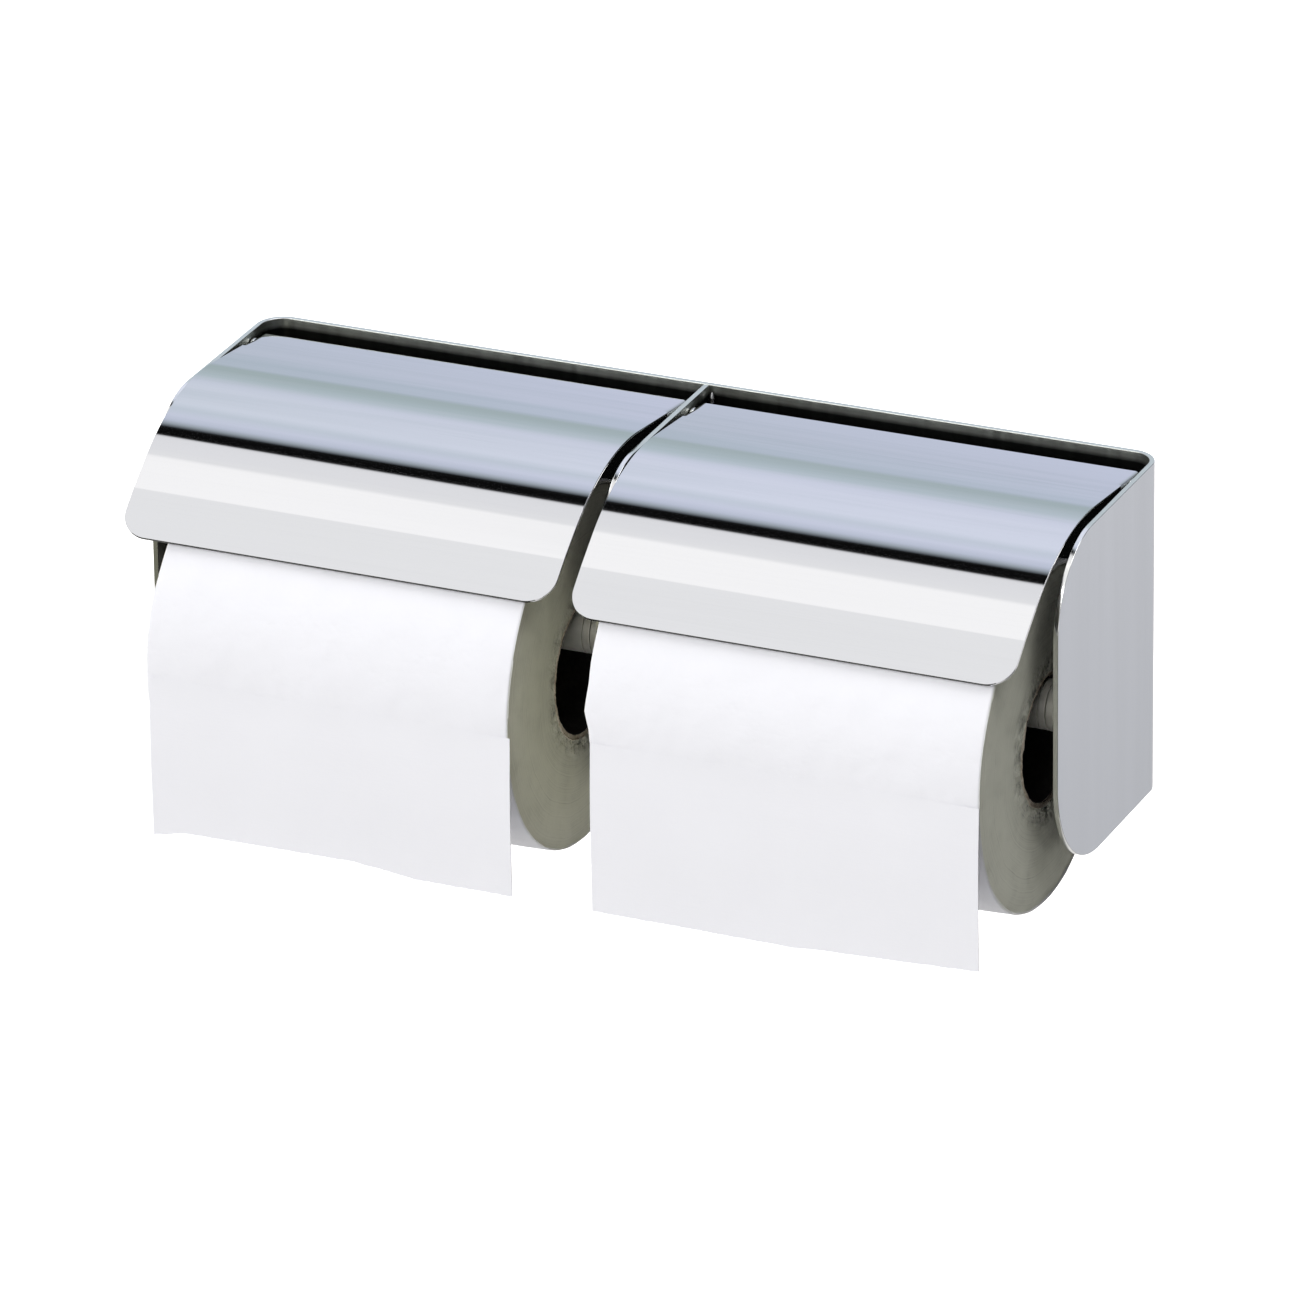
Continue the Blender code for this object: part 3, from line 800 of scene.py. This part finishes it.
hoodForm = {
    "sheet": 0.0008,
    "sideClearance": 0.0015,
    "rearReach": 0.0043,
    "riseAtPin": 0.00309,
    "rise": math.radians(5.5),
    "flat": 0.0332,
    # each bend's radius, turn and steps, and the length that goes straight on from it
    "bends": [
        (0.060, math.radians(43.9), 96, 0.0087),
        (0.025, math.radians(3.3), 10, 0.01406),
    ],
    "corner": 0.008,
    "cornerSteps": 16,
    "earReach": 0.0132,  # along the sheet from its rear edge
    "earDrop": 0.0074,
    "earCorner": 0.0041,
    "earSteps": 10,
    "fold": 0.0012,
    "foldSteps": 6,
    "widening": 0.0004,  # in front of the ears, where the sheet takes its full width
    "pinHole": 0.0018,
    "edgeRound": 0.00022,
    "restAngle": {"left": math.radians(1.2507), "right": math.radians(-0.1746)},
}


def makeHood(side):
    form = hoodForm
    low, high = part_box(f"hood_{side}")
    half = (high[0] - low[0]) / 2
    ear, drop, fold = form["earReach"], form["earDrop"], form["fold"]
    piece = startPlane(f"hoodSheet_{side}", 2 * half, ear, hoodSteel, hoodInside, hoodShadowLip)
    bpy.ops.transform.translate(value=(0, -ear / 2, 0))
    for x in (half, -half):
        pick(piece, lambda p: near(p.x, x) and near(p.z, 0))
        pull(z=-drop)
    for x in (half, -half):
        for y in (0, -ear):
            corner = lambda p: near(p.x, x) and near(p.y, y) and near(p.z, -drop)
            roundCorner(piece, corner, form["earCorner"], form["earSteps"])
    # each ear is folded down from the sheet
    level = lambda p: near(p.z, 0) and near(abs(p.x), half)
    pickEdges(piece, lambda a, b: level(a) and level(b) and near(a.x, b.x))
    bpy.ops.mesh.bevel(offset=fold, segments=form["foldSteps"], affect="EDGES", profile=0.5)
    pickPoints()
    pick(piece, lambda p: near(p.y, -ear) and near(p.z, 0) and abs(p.x) < half - fold / 2)
    pull(y=-form["widening"])
    pick(piece, lambda p: near(p.y, -ear - form["widening"]))
    bpy.ops.transform.resize(value=(half / (half - fold), 1, 1), center_override=(0, 0, 0))
    pull(y=ear + form["widening"] - form["flat"])
    slope, y, z = 0, -form["flat"], 0
    for radius, turn, steps, run in form["bends"]:
        pick(piece, lambda p: near(p.y, y) and near(p.z, z))
        centreY, centreZ = y + radius * math.sin(slope), z - radius * math.cos(slope)
        bpy.ops.mesh.spin(steps=steps, angle=-turn, center=(0, centreY, centreZ), axis=(1, 0, 0))
        slope += turn
        y, z = centreY - radius * math.sin(slope), centreZ + radius * math.cos(slope)
        pick(piece, lambda p: near(p.y, y) and near(p.z, z))
        pull(y=-run * math.cos(slope), z=-run * math.sin(slope))
        y, z = y - run * math.cos(slope), z - run * math.sin(slope)
    roundCorner(piece, lambda p: near(p.y, y), form["corner"], form["cornerSteps"])
    mergeClose()
    faceOut(piece, (0, 0, 1))
    rise, reach = form["rise"], form["rearReach"]
    rearAbove = form["riseAtPin"] - reach * math.tan(rise)
    stamp(piece, turn=(-rise, 0, 0), place=(0, reach, rearAbove))
    thicken(piece, form["sheet"], innerSlot=1)
    drillAlong(piece, "X", (0, 0, 0), form["pinHole"], 2 * half + drillForm["length"])
    softenEdges(piece, form["edgeRound"], angle=50)
    # the front edge is painted dark: a painted shadow line between the hood and the roll
    front = min(vert.co.y for vert in piece.data.vertices)
    openPiece(piece)
    pick(piece, lambda p: p.y < front + form["sheet"])
    paint(piece, 2)
    place = ((high[0] + low[0]) / 2, *pinAxis[1:])
    stamp(piece, turn=(-form["restAngle"][side], 0, 0), place=place)
    smooth(piece, 25)
    putIn(piece, hoodSteel, f"hood_{side}", "hood_stainless", f"hood_{side}")


for side in sides:
    makeHood(side)
    print("hood", side, "made")


# The hinge pins.

pinForm = {
    "radius": 0.0015,
    "collar": 0.0026,
    "gap": 0.0003,
    "dome": 0.0004,
    "domeShare": 0.75,  # of the radius, a third of the dome from its tip
    "sides": 40,
    "edgeRound": 0.0002,
}


def pinHalf(face, end, first):
    # from the collar's face to the domed end
    radius, collar, dome = pinForm["radius"], pinForm["collar"], pinForm["dome"]
    shoulder = face + hoodForm["sideClearance"] - 2 * pinForm["gap"]
    points = [(face, first), (face, collar), (shoulder, collar), (shoulder, radius)]
    points += [(end - dome, radius), (end - dome / 3, radius * pinForm["domeShare"]), (end, 0)]
    return points


def makePins():
    for side in ("left", "middle", "right"):
        low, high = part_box(f"hinge_pin_{side}")
        start, end = low[0], high[0]
        outline = pinHalf(start, end, 0)
        if side == "right":
            outline = [(start + end - x, r) for x, r in outline[::-1]]
        if side == "middle":
            half = pinHalf(housingForm["sheet"] / 2 + pinForm["gap"], end, pinForm["radius"])
            outline = [(-x, r) for x, r in half[::-1]] + half
        makeTurned(
            f"hingePin_{side}",
            f"hinge_pin_{side}",
            "housing",
            outline,
            pinForm["sides"],
            pinAxis,
            platedChrome,
            bevel=(pinForm["edgeRound"], 2),
            angle=40,
        )


makePins()
print("hinge pins made")


# The spindles and their seats.

spindleForm = {
    "tubeRadius": 0.007,
    "tubeWall": 0.0007,
    "tubeSides": 96,
    "lip": 0.0012,
    "plungerRadius": 0.0055,
    "plungerWall": 0.0007,
    "smallSides": 72,  # of what is smaller than the tube, and of the seats
    "collarLength": 0.004,
    "collarRadius": 0.006,
    "flange": 0.002,
    "spigot": 0.003,
    "edge": 0.00015,
    "tip": 0.003,
    "domeSteps": 6,
    "clearance": 0.0003,
    "seatHub": 0.0071,
    "seatFlange": 0.0022,
    "seatFlangeLength": 0.0012,
    "seatBore": 0.0034,
    "seatFloor": 0.0008,
    "seatRound": 0.0001,
    "edgeRound": 0.00006,
    "wire": 0.00045,
    "wireSides": 10,
    "springTurns": 12,
    "springSteps": 20,
}
spindlePlace = (0, *middleOf(*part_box("spindle_tube_left"))[1:])


def makePlug(name, node, body, inside, outside, radius, wall):
    # from the spigot's end inside the tube to the domed tip
    form = spindleForm
    direction = 1 if outside > inside else -1
    shoulder = inside + direction * form["spigot"]
    flangeFace = shoulder + direction * form["flange"]
    spigot = radius - wall - form["clearance"]
    edge, tip, steps = form["edge"], form["tip"], form["domeSteps"]
    outline = [(inside, 0), (inside, spigot), (shoulder, spigot), (shoulder, radius)]
    rounded = (flangeFace - direction * edge, radius - edge)
    outline += arcPoints(rounded, (direction * edge, edge), 90, 0, steps)
    outline.append((flangeFace, tip))
    dome = (outside - direction * tip / 2, 0)
    outline += arcPoints(dome, (direction * tip / 2, tip), 90, 0, steps)
    outline[-1] = (outside, 0)
    makeTurned(name, node, body, outline, form["smallSides"], spindlePlace, spindleChrome, angle=35)


def makeSpring(side):
    # a ring of wire carried round and along, at one length
    form = spindleForm
    node = f"spindle_spring_{side}"
    low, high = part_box(node)
    wire, turns = form["wire"], form["springTurns"]
    run = high[0] - low[0] - 2 * wire
    leaveAll()
    bpy.ops.mesh.primitive_circle_add(vertices=form["wireSides"], radius=wire, location=(0, 0, 0))
    piece = named(f"spindleSpring_{side}")
    openPiece(piece)
    bpy.ops.transform.translate(value=(0, (high[2] - low[2]) / 2 - wire, 0))
    steps = form["springSteps"]
    change(
        piece,
        "SCREW",
        axis="X",
        steps=steps,
        render_steps=steps,
        iterations=turns,
        screw_offset=run / turns,
    )
    openPiece(piece)
    bpy.ops.mesh.fill_holes(sides=form["wireSides"])
    lookOut()
    stamp(piece, place=(low[0] + wire, *spindlePlace[1:]))
    smooth(piece, 50)
    piece.data.materials.append(springSteel)
    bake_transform(piece)
    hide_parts(node)


def makeSpindle(side):
    form = spindleForm
    spindle, plunger = f"spindle_{side}", f"plunger_{side}"
    tube, rod, small = form["tubeRadius"], form["plungerRadius"], form["smallSides"]

    low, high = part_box(f"spindle_tube_{side}")
    start, end = low[0], high[0]
    inner, lip, lipEnd = tube - form["tubeWall"], rod + form["clearance"], start + form["lip"]
    outline = [(start, lip), (start, tube), (end, tube), (end, inner)]
    outline += [(lipEnd, inner), (lipEnd, lip)]
    makeTurned(
        f"spindleTube_{side}",
        f"spindle_tube_{side}",
        spindle,
        outline,
        form["tubeSides"],
        spindlePlace,
        spindleChrome,
        bevel=(form["edgeRound"], 3),
        closed=True,
    )

    node = f"spindle_cap_{side}"
    low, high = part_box(node)
    makePlug(f"spindleCap_{side}", node, spindle, low[0], high[0], tube, form["tubeWall"])

    low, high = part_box(plunger)
    start, end = low[0], high[0]
    bore, wide, collar = rod - form["plungerWall"], form["collarRadius"], end - form["collarLength"]
    outline = [(start, bore), (start, rod), (collar, rod), (collar, wide), (end, wide), (end, bore)]
    makeTurned(
        f"plungerTube_{side}",
        plunger,
        plunger,
        outline,
        small,
        spindlePlace,
        spindleChrome,
        bevel=(form["edgeRound"], 2),
        closed=True,
    )

    node = f"plunger_tip_{side}"
    low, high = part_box(node)
    makePlug(f"plungerTip_{side}", node, plunger, high[0], low[0], rod, form["plungerWall"])

    makeSpring(side)


def makeSeats():
    form = spindleForm
    hub, bore = form["seatHub"], form["seatBore"]
    wide = hub + form["seatFlange"]
    for side in sides:
        for end, direction in (("left", 1), ("right", -1)):
            node = f"seat_{side}_bay_{end}"
            low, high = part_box(node)
            base, mouth = (low[0], high[0])[::direction]
            flange = base + direction * form["seatFlangeLength"]
            floor = base + direction * form["seatFloor"]
            outline = [(base, 0), (base, wide), (flange, wide), (flange, hub)]
            outline += [(mouth, hub), (mouth, bore), (floor, bore), (floor, 0)]
            makeTurned(
                f"spindleSeat_{side}_{end}",
                node,
                "housing",
                outline,
                form["smallSides"],
                spindlePlace,
                spindleChrome,
                bevel=(form["seatRound"], 3),
            )


for side in sides:
    makeSpindle(side)
makeSeats()
print("spindles and seats made")


# The rolls, their cores and the tails.

rollForm = {
    "shy": 0.0001,  # how far the paper stays inside its clear space
    "coreGap": 0.0003,
    "edge": 0.0012,
    "edgeSteps": 6,
    "endRings": 24,
    "rows": 26,
    "steps": 180,
    # each kind of dent's size and depth
    "softDent": (0.03, 0.00012),
    "endDent": (0.009, 0.0009),
    "rimDent": (0.02, 0.0006),
    "rimReach": 0.009,
    "rimDepth": 0.003,
    # how far the outer plies have slipped to the left, by degrees above the front horizon
    "slip": {
        "left": [(-30, 0), (-5, 0.0012), (14, 0.0012), (42, 0)],
        "right": [
            (-14, 0),
            (-1, 0.0012),
            (4, 0.0015),
            (10, 0.0029),
            (19, 0.0024),
            (26, 0.0027),
            (120, 0.0027),
            (160, 0),
        ],
    },
}
coreForm = {
    "wall": 0.001,
    "flare": 0.0011,
    "mouthEdge": 0.0001,
    "mouthReach": 0.006,
    "rows": 30,
    "steps": 144,
    "edgeRound": 0.0002,
    "nick": (0.004, 0.0008),
    "leastNick": 0.2,  # the share of it that the core's middle has
}
tailForm = {
    "thickness": 0.0003,
    "gap": 0.00006,
    "shorter": 0.0006,  # than its solid, before what it hangs lower
    "columns": (9, 35),
    "rows": (5, 9),
    "bow": 0.0004,
    "slack": (0.035, 0.0004),
    "tear": (0.0022, 0.0004),
    "wall": (0.05, 4),  # the share of its thickness at the upper edge, and how fast it grows
    "inset": {"left": -0.0004, "right": 0.0004},  # how far its right edge stays inside the roll's
    "leftReach": {"left": -0.0003, "right": 0.0004},  # how far its left edge has slipped out
    "extra": {"left": 0.0005, "right": 0.0037},  # how much lower it hangs where it hangs lowest
    # how far up it was torn off, by the share of its width from the left
    "tornUp": {
        "left": [(0, 0), (0.09, 0.0019), (0.56, 0.0024), (0.67, 0.0011), (0.73, 0.0002), (1, 0.0002)],
        "right": [(0, 0.0003), (0.36, 0.0001), (0.52, 0), (0.58, 0.0006), (0.8, 0.0015), (1, 0.0025)],
    },
}


def along(stops, value):
    # the height of a line through the stops
    before = stops[0]
    for after in stops:
        if value < after[0]:
            part = max(0, value - before[0]) / max(hair, after[0] - before[0])
            return before[1] + (after[1] - before[1]) * part
        before = after
    return before[1]


def furthest(stops):
    return max(height for place, height in stops)


def makeRoll(side):
    form = rollForm
    low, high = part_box(f"roll_{side}")
    coreLow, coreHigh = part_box(f"core_{side}")
    place = middleOf(low, high)
    half = (high[0] - low[0]) / 2
    radius = (high[1] - low[1]) / 2 - form["shy"]
    inner = (coreHigh[1] - coreLow[1]) / 2 + form["coreGap"]
    edge, rings, rows = form["edge"], form["endRings"], form["rows"]
    end = [inner + (radius - edge - inner) * n / rings for n in range(rings)]
    length = half - edge
    corner = (edge, edge)
    outline = [(half, r) for r in end]
    outline += arcPoints((length, radius - edge), corner, 0, 90, form["edgeSteps"])
    outline += [(length - 2 * length * n / rows, radius) for n in range(1, rows)]
    outline += arcPoints((-length, radius - edge), corner, 90, 180, form["edgeSteps"])
    outline += [(-half, r) for r in end[::-1]]
    piece = turnOutline(f"paperRoll_{side}", outline, form["steps"], place, closed=True)
    dent(piece, f"rollSoft_{side}", *form["softDent"], inwards=False)
    slip = form["slip"][side]

    def fromEnd(p):
        return half - abs(p.x - place[0])

    def rim(p):
        outside = math.hypot(place[1] - p.y, p.z - place[2]) > radius - form["rimDepth"]
        return max(0, 1 - fromEnd(p) / form["rimReach"]) if outside else 0

    def slid(p):
        if p.x >= place[0]:
            return 0
        up = math.degrees(math.atan2(p.z - place[2], place[1] - p.y))
        return along(slip, up) / furthest(slip) * max(0, 1 - fromEnd(p) / half)

    weigh(piece, "ends", lambda p: 1 if fromEnd(p) < hair * 50 else 0)
    weigh(piece, "rims", rim)
    weigh(piece, "slipped", slid)
    dent(piece, f"rollEnd_{side}", *form["endDent"], "ends")
    dent(piece, f"rollRim_{side}", *form["rimDent"], "rims")
    shift(piece, "slipped", "X", -furthest(slip))
    smooth(piece, 50)
    paper = makeTissue(f"rollPaper_{side}", side, place)
    putIn(piece, paper, f"roll_{side}", "tissue_paper", f"roll_{side}")


def makeCore(side):
    form = coreForm
    low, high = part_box(f"core_{side}")
    rollLow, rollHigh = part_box(f"roll_{side}")
    place = middleOf(low, high)
    half, radius = (rollHigh[0] - rollLow[0]) / 2, (high[1] - low[1]) / 2
    inner, flare, rows = radius - form["wall"], form["flare"], form["rows"]
    mouth = half - form["mouthEdge"]
    places = [half - 2 * half * n / rows for n in range(1, rows)]
    outline = [(half, inner), (mouth, radius + flare), (half - flare, radius)]
    outline += [(x, radius) for x in places]
    outline += [(flare - half, radius), (-mouth, radius + flare), (-half, inner)]
    outline += [(x, inner) for x in places[::-1]]
    core = turnOutline(f"cardCore_{side}", outline, form["steps"], place, closed=True)
    core.data.materials.append(coreBoard)
    core.data.materials.append(coreBoreShade)
    openPiece(core)
    # painted shade: the faces inside the bore take the nearly black board
    bore = inner + hair * 50
    pick(core, lambda p: math.hypot(p.y - place[1], p.z - place[2]) < bore)
    paint(core, 1)
    softenEdges(core, form["edgeRound"], 2, 60)
    fromEnd = lambda p: half - abs(p.x - place[0])
    weigh(core, "mouths", lambda p: max(form["leastNick"], 1 - fromEnd(p) / form["mouthReach"]))
    dent(core, f"coreNick_{side}", *form["nick"], "mouths")
    smooth(core, 40)
    putIn(core, coreBoard, f"roll_{side}", "cardboard", f"core_{side}")


def makeTail(side):
    form = tailForm
    low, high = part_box(f"tail_{side}")
    rollLow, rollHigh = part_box(f"roll_{side}")
    left, right = low[0] - form["leftReach"][side], high[0] - form["inset"][side]
    width = right - left
    drop = high[2] - low[2] - form["shorter"] + form["extra"][side]
    piece = startPlane(f"paperTail_{side}", width, drop)
    bpy.ops.transform.translate(value=(0, -drop / 2, 0))
    for cuts in form["columns"]:
        pickEdges(piece, lambda a, b: near(a.y, b.y))
        bpy.ops.mesh.subdivide(number_cuts=cuts)
    for cuts in form["rows"]:
        pickEdges(piece, lambda a, b: near(a.x, b.x))
        bpy.ops.mesh.subdivide(number_cuts=cuts)
    stamp(piece, turn=(quarterTurn, 0, 0))
    torn = form["tornUp"][side]
    highest = furthest(torn)
    least, growth = form["wall"]
    down = lambda p: -p.z / drop
    weigh(piece, "lower", lambda p: down(p) ** 2)
    weigh(piece, "torn", lambda p: 1 if down(p) > 0.999 else 0)
    weigh(piece, "tornUp", lambda p: along(torn, p.x / width + 0.5) / highest * down(p))
    weigh(piece, "wall", lambda p: min(1, least + down(p) * growth))
    weigh(piece, "bowed", lambda p: math.sin(math.pi * down(p)) ** 2)
    shift(piece, "bowed", "Y", -form["bow"])
    dent(piece, f"tailSlack_{side}", *form["slack"], "lower", "Y", False)
    dent(piece, f"tailTear_{side}", *form["tear"], "torn", "Z", True)
    shift(piece, "tornUp", "Z", highest)
    openPiece(piece)
    # its back looks at the roll, and the sheet grows forward from there
    faceOut(piece, (0, 1, 0))
    change(
        piece,
        "SOLIDIFY",
        thickness=form["thickness"],
        offset=-1,
        vertex_group="wall",
        thickness_vertex_group=0,
    )
    back = rollLow[1] + rollForm["shy"] - form["gap"]
    stamp(piece, place=((left + right) / 2, back, high[2]))
    smooth(piece, 60)
    putIn(piece, tailPaper, f"tail_{side}", "tissue_paper", f"tail_{side}")


for side in sides:
    makeRoll(side)
    makeCore(side)
    makeTail(side)
    print("roll, core and tail", side, "made")


# The studio.

studio = {
    # camera, from the photograph's own perspective
    "cameraPlace": (1.17410132, -2.68984857, 1.2799803),
    "cameraTurn": (65.911059, 0.705644, 23.604890),
    "lens": 317.9626,
    "sensor": 36,
    "sight": 60,
    "floorDrop": 1.7,
    "floorSize": 16,
    "floorColour": (0.80, 0.785, 0.75),
    "floorLift": 1,
    "floorSide": 0.24,  # its tone to the right of the object, beside the near floor's 1
    "floorFade": (0.2, 1.6),
    "floorFar": 2,  # beyond this it has one tone, which the end plate mirrors
    "darkFloor": (0.17, 0.17, 0.13),  # what metal shows of the floor in front
    "darkFloorFrom": -1,
    # soft key light from the front left and above
    "keyFrom": (-0.45, -0.85, 0.48),
    "keyStrength": 1.42,
    "keyAngle": 34,
    # a steep light from the right, which only grazes the rolls' ends
    "topFrom": (0.30, 0.10, 0.95),
    "topStrength": 0.95,
    "topAngle": 40,
    "tilt": 50,  # degrees that the panels lean for each unit sideways
    "tiltCentre": -0.37,
    "tiltReach": 0.1,
    # angle round the object from the front horizon over the top, and the studio's light there
    "surround": [
        (0, (0.95, 0.95, 0.95)),
        (60, (0.97, 0.97, 0.98)),
        (73.2, (0.99, 0.99, 0.99)),
        (74.4, (1.17, 1.16, 1.15)),
        (79.8, (1.17, 1.16, 1.15)),
        (81.4, (0.96, 0.96, 0.965)),
        (86, (0.93, 0.93, 0.945)),
        (93.4, (0.91, 0.91, 0.925)),
        (94.0, (0.004, 0.004, 0.004)),
        (99.9, (0.004, 0.004, 0.004)),
        (102.6, (0.40, 0.45, 0.50)),
        (105, (0.62, 0.67, 0.80)),
        (109, (0.74, 0.78, 0.93)),
        (114, (0.69, 0.755, 0.86)),
        (119, (0.81, 0.855, 0.985)),
        (134, (0.80, 0.84, 0.975)),
        (141, (0.75, 0.79, 0.93)),
        (148, (0.61, 0.685, 0.76)),
        (157, (0.54, 0.61, 0.66)),
        (162, (0.51, 0.58, 0.62)),
        (165, (0.58, 0.635, 0.74)),
        (169, (0.66, 0.70, 0.86)),
        (180, (0.66, 0.70, 0.84)),
    ],
    "brightest": 1.2,
    "lowSide": (0.06, 0.06, 0.055),  # the walls at both ends, at the horizon and overhead
    "highSide": (0.13, 0.13, 0.127),
    "rightFade": (0.0, 0.42),  # how far round the light fades, for each end
    "leftFade": (0.48, 0.80),
    "shineFade": (0.58, 0.82),  # beyond here, metal shows paler walls
    "lowShine": (0.36, 0.37, 0.38),
    "highShine": (0.66, 0.68, 0.71),
}


def makeFloor():
    leaveAll()
    place = (0, 0, -studio["floorDrop"])
    bpy.ops.mesh.primitive_plane_add(size=studio["floorSize"], location=place)
    floor = bpy.context.active_object
    floor.name = "studioFloor"
    f = Finish("paleFloor")
    f.tree.nodes.remove(f.shader)
    x, y, z = f.axes(f.place)
    seen = f.node("ShaderNodeLightPath").outputs
    # the right side of the room is dark, so the rolls' ends are
    aside = f.between(x, 0, 1, *studio["floorFade"])
    aside = f.part(aside, f.maths("LESS_THAN", y, studio["floorFar"]))
    tone = f.tones(aside, studio["floorColour"], [(0, 1), (1, studio["floorSide"])])
    matt = f.run("ShaderNodeBsdfDiffuse", "BSDF", {"Color": tone})
    # the camera sees it white
    lift = f.part(seen["Is Camera Ray"], studio["floorLift"])
    glow = f.run("ShaderNodeEmission", "Emission", {"Strength": lift})
    pale = f.run("ShaderNodeAddShader", "Shader", {0: matt, 1: glow})
    # metal that looks forward and down shows the darker front of the room
    front = f.part(f.maths("LESS_THAN", y, studio["darkFloorFrom"]), seen["Is Glossy Ray"])
    dark = f.run("ShaderNodeEmission", "Emission", {"Color": (*studio["darkFloor"], 1)})
    ground = f.mixShaders(front, pale, dark)
    f.give(f.tree.nodes["Material Output"].inputs["Surface"], ground)
    floor.data.materials.append(f.material)


def makeSurround():
    world = bpy.data.worlds.new("studioSurround")
    bpy.context.scene.world = world
    world.use_nodes = True
    w = Nodes(world.node_tree)
    w.tree.nodes.clear()
    brightest = studio["brightest"]
    x, y, z = w.axes(w.node("ShaderNodeTexCoord").outputs["Generated"])
    seen = w.node("ShaderNodeLightPath").outputs

    def fade(value, name):
        return w.between(value, 0, 1, *studio[name], way="SMOOTHSTEP")

    def upward(low, high):
        colours = [(*shade(studio[name], 1 / brightest), 1) for name in (low, high)]
        return w.mix(w.maths("MAXIMUM", z, 0), *colours)

    # the panels stand askew to the object, so their edges climb from right to left
    reach = studio["tiltReach"]
    aside = w.maths("MINIMUM", w.maths("SUBTRACT", x, studio["tiltCentre"]), reach)
    askew = w.part(w.maths("MAXIMUM", aside, -reach), math.radians(studio["tilt"]))
    angle = w.sum(w.maths("ARCTAN2", z, w.part(y, -1)), askew)
    panels = [(degrees / 180, shade(light, 1 / brightest)) for degrees, light in studio["surround"]]
    light = w.blend(w.maths("DIVIDE", angle, math.pi), panels)
    # the light falls off to dark walls at both ends
    ends = w.sum(fade(x, "rightFade"), fade(w.part(x, -1), "leftFade"))
    walls = w.mix(ends, light, upward("lowSide", "highSide"))
    far = w.part(fade(w.maths("ABSOLUTE", x), "shineFade"), seen["Is Glossy Ray"])
    shine = w.mix(far, walls, upward("lowShine", "highShine"))
    lit = w.run("ShaderNodeBackground", "Background", {"Color": shine, "Strength": brightest})
    # the camera sees a pale backdrop, and metal does too below the horizon
    backdrop = w.run("ShaderNodeBackground", "Background", {"Strength": 1})
    mirrored = w.sum(seen["Is Glossy Ray"], seen["Is Transmission Ray"])
    mirrored = w.part(mirrored, w.maths("LESS_THAN", z, 0))
    shown = w.maths("MINIMUM", w.sum(seen["Is Camera Ray"], mirrored), 1)
    surface = w.mixShaders(shown, lit, backdrop)
    w.give(w.node("ShaderNodeOutputWorld").inputs["Surface"], surface)


def makeLamp(name):
    leaveAll()
    toLight = Vector(studio[f"{name}From"])
    turn = toLight.to_track_quat("Z", "Y").to_euler()
    bpy.ops.object.light_add(type="SUN", location=toLight * 2, rotation=turn)
    lamp = bpy.context.active_object
    lamp.name = f"{name}Light"
    lamp.data.energy = studio[f"{name}Strength"]
    lamp.data.angle = math.radians(studio[f"{name}Angle"])


def makeCamera():
    leaveAll()
    turn = [math.radians(v) for v in studio["cameraTurn"]]
    bpy.ops.object.camera_add(location=studio["cameraPlace"], rotation=turn)
    camera = bpy.context.active_object
    camera.data.lens = studio["lens"]
    camera.data.sensor_width = studio["sensor"]
    camera.data.clip_end = studio["sight"]
    bpy.context.scene.camera = camera


makeFloor()
makeSurround()
makeLamp("key")
makeLamp("top")
makeCamera()
bpy.context.scene.view_settings.view_transform = "Standard"
print("studio made")
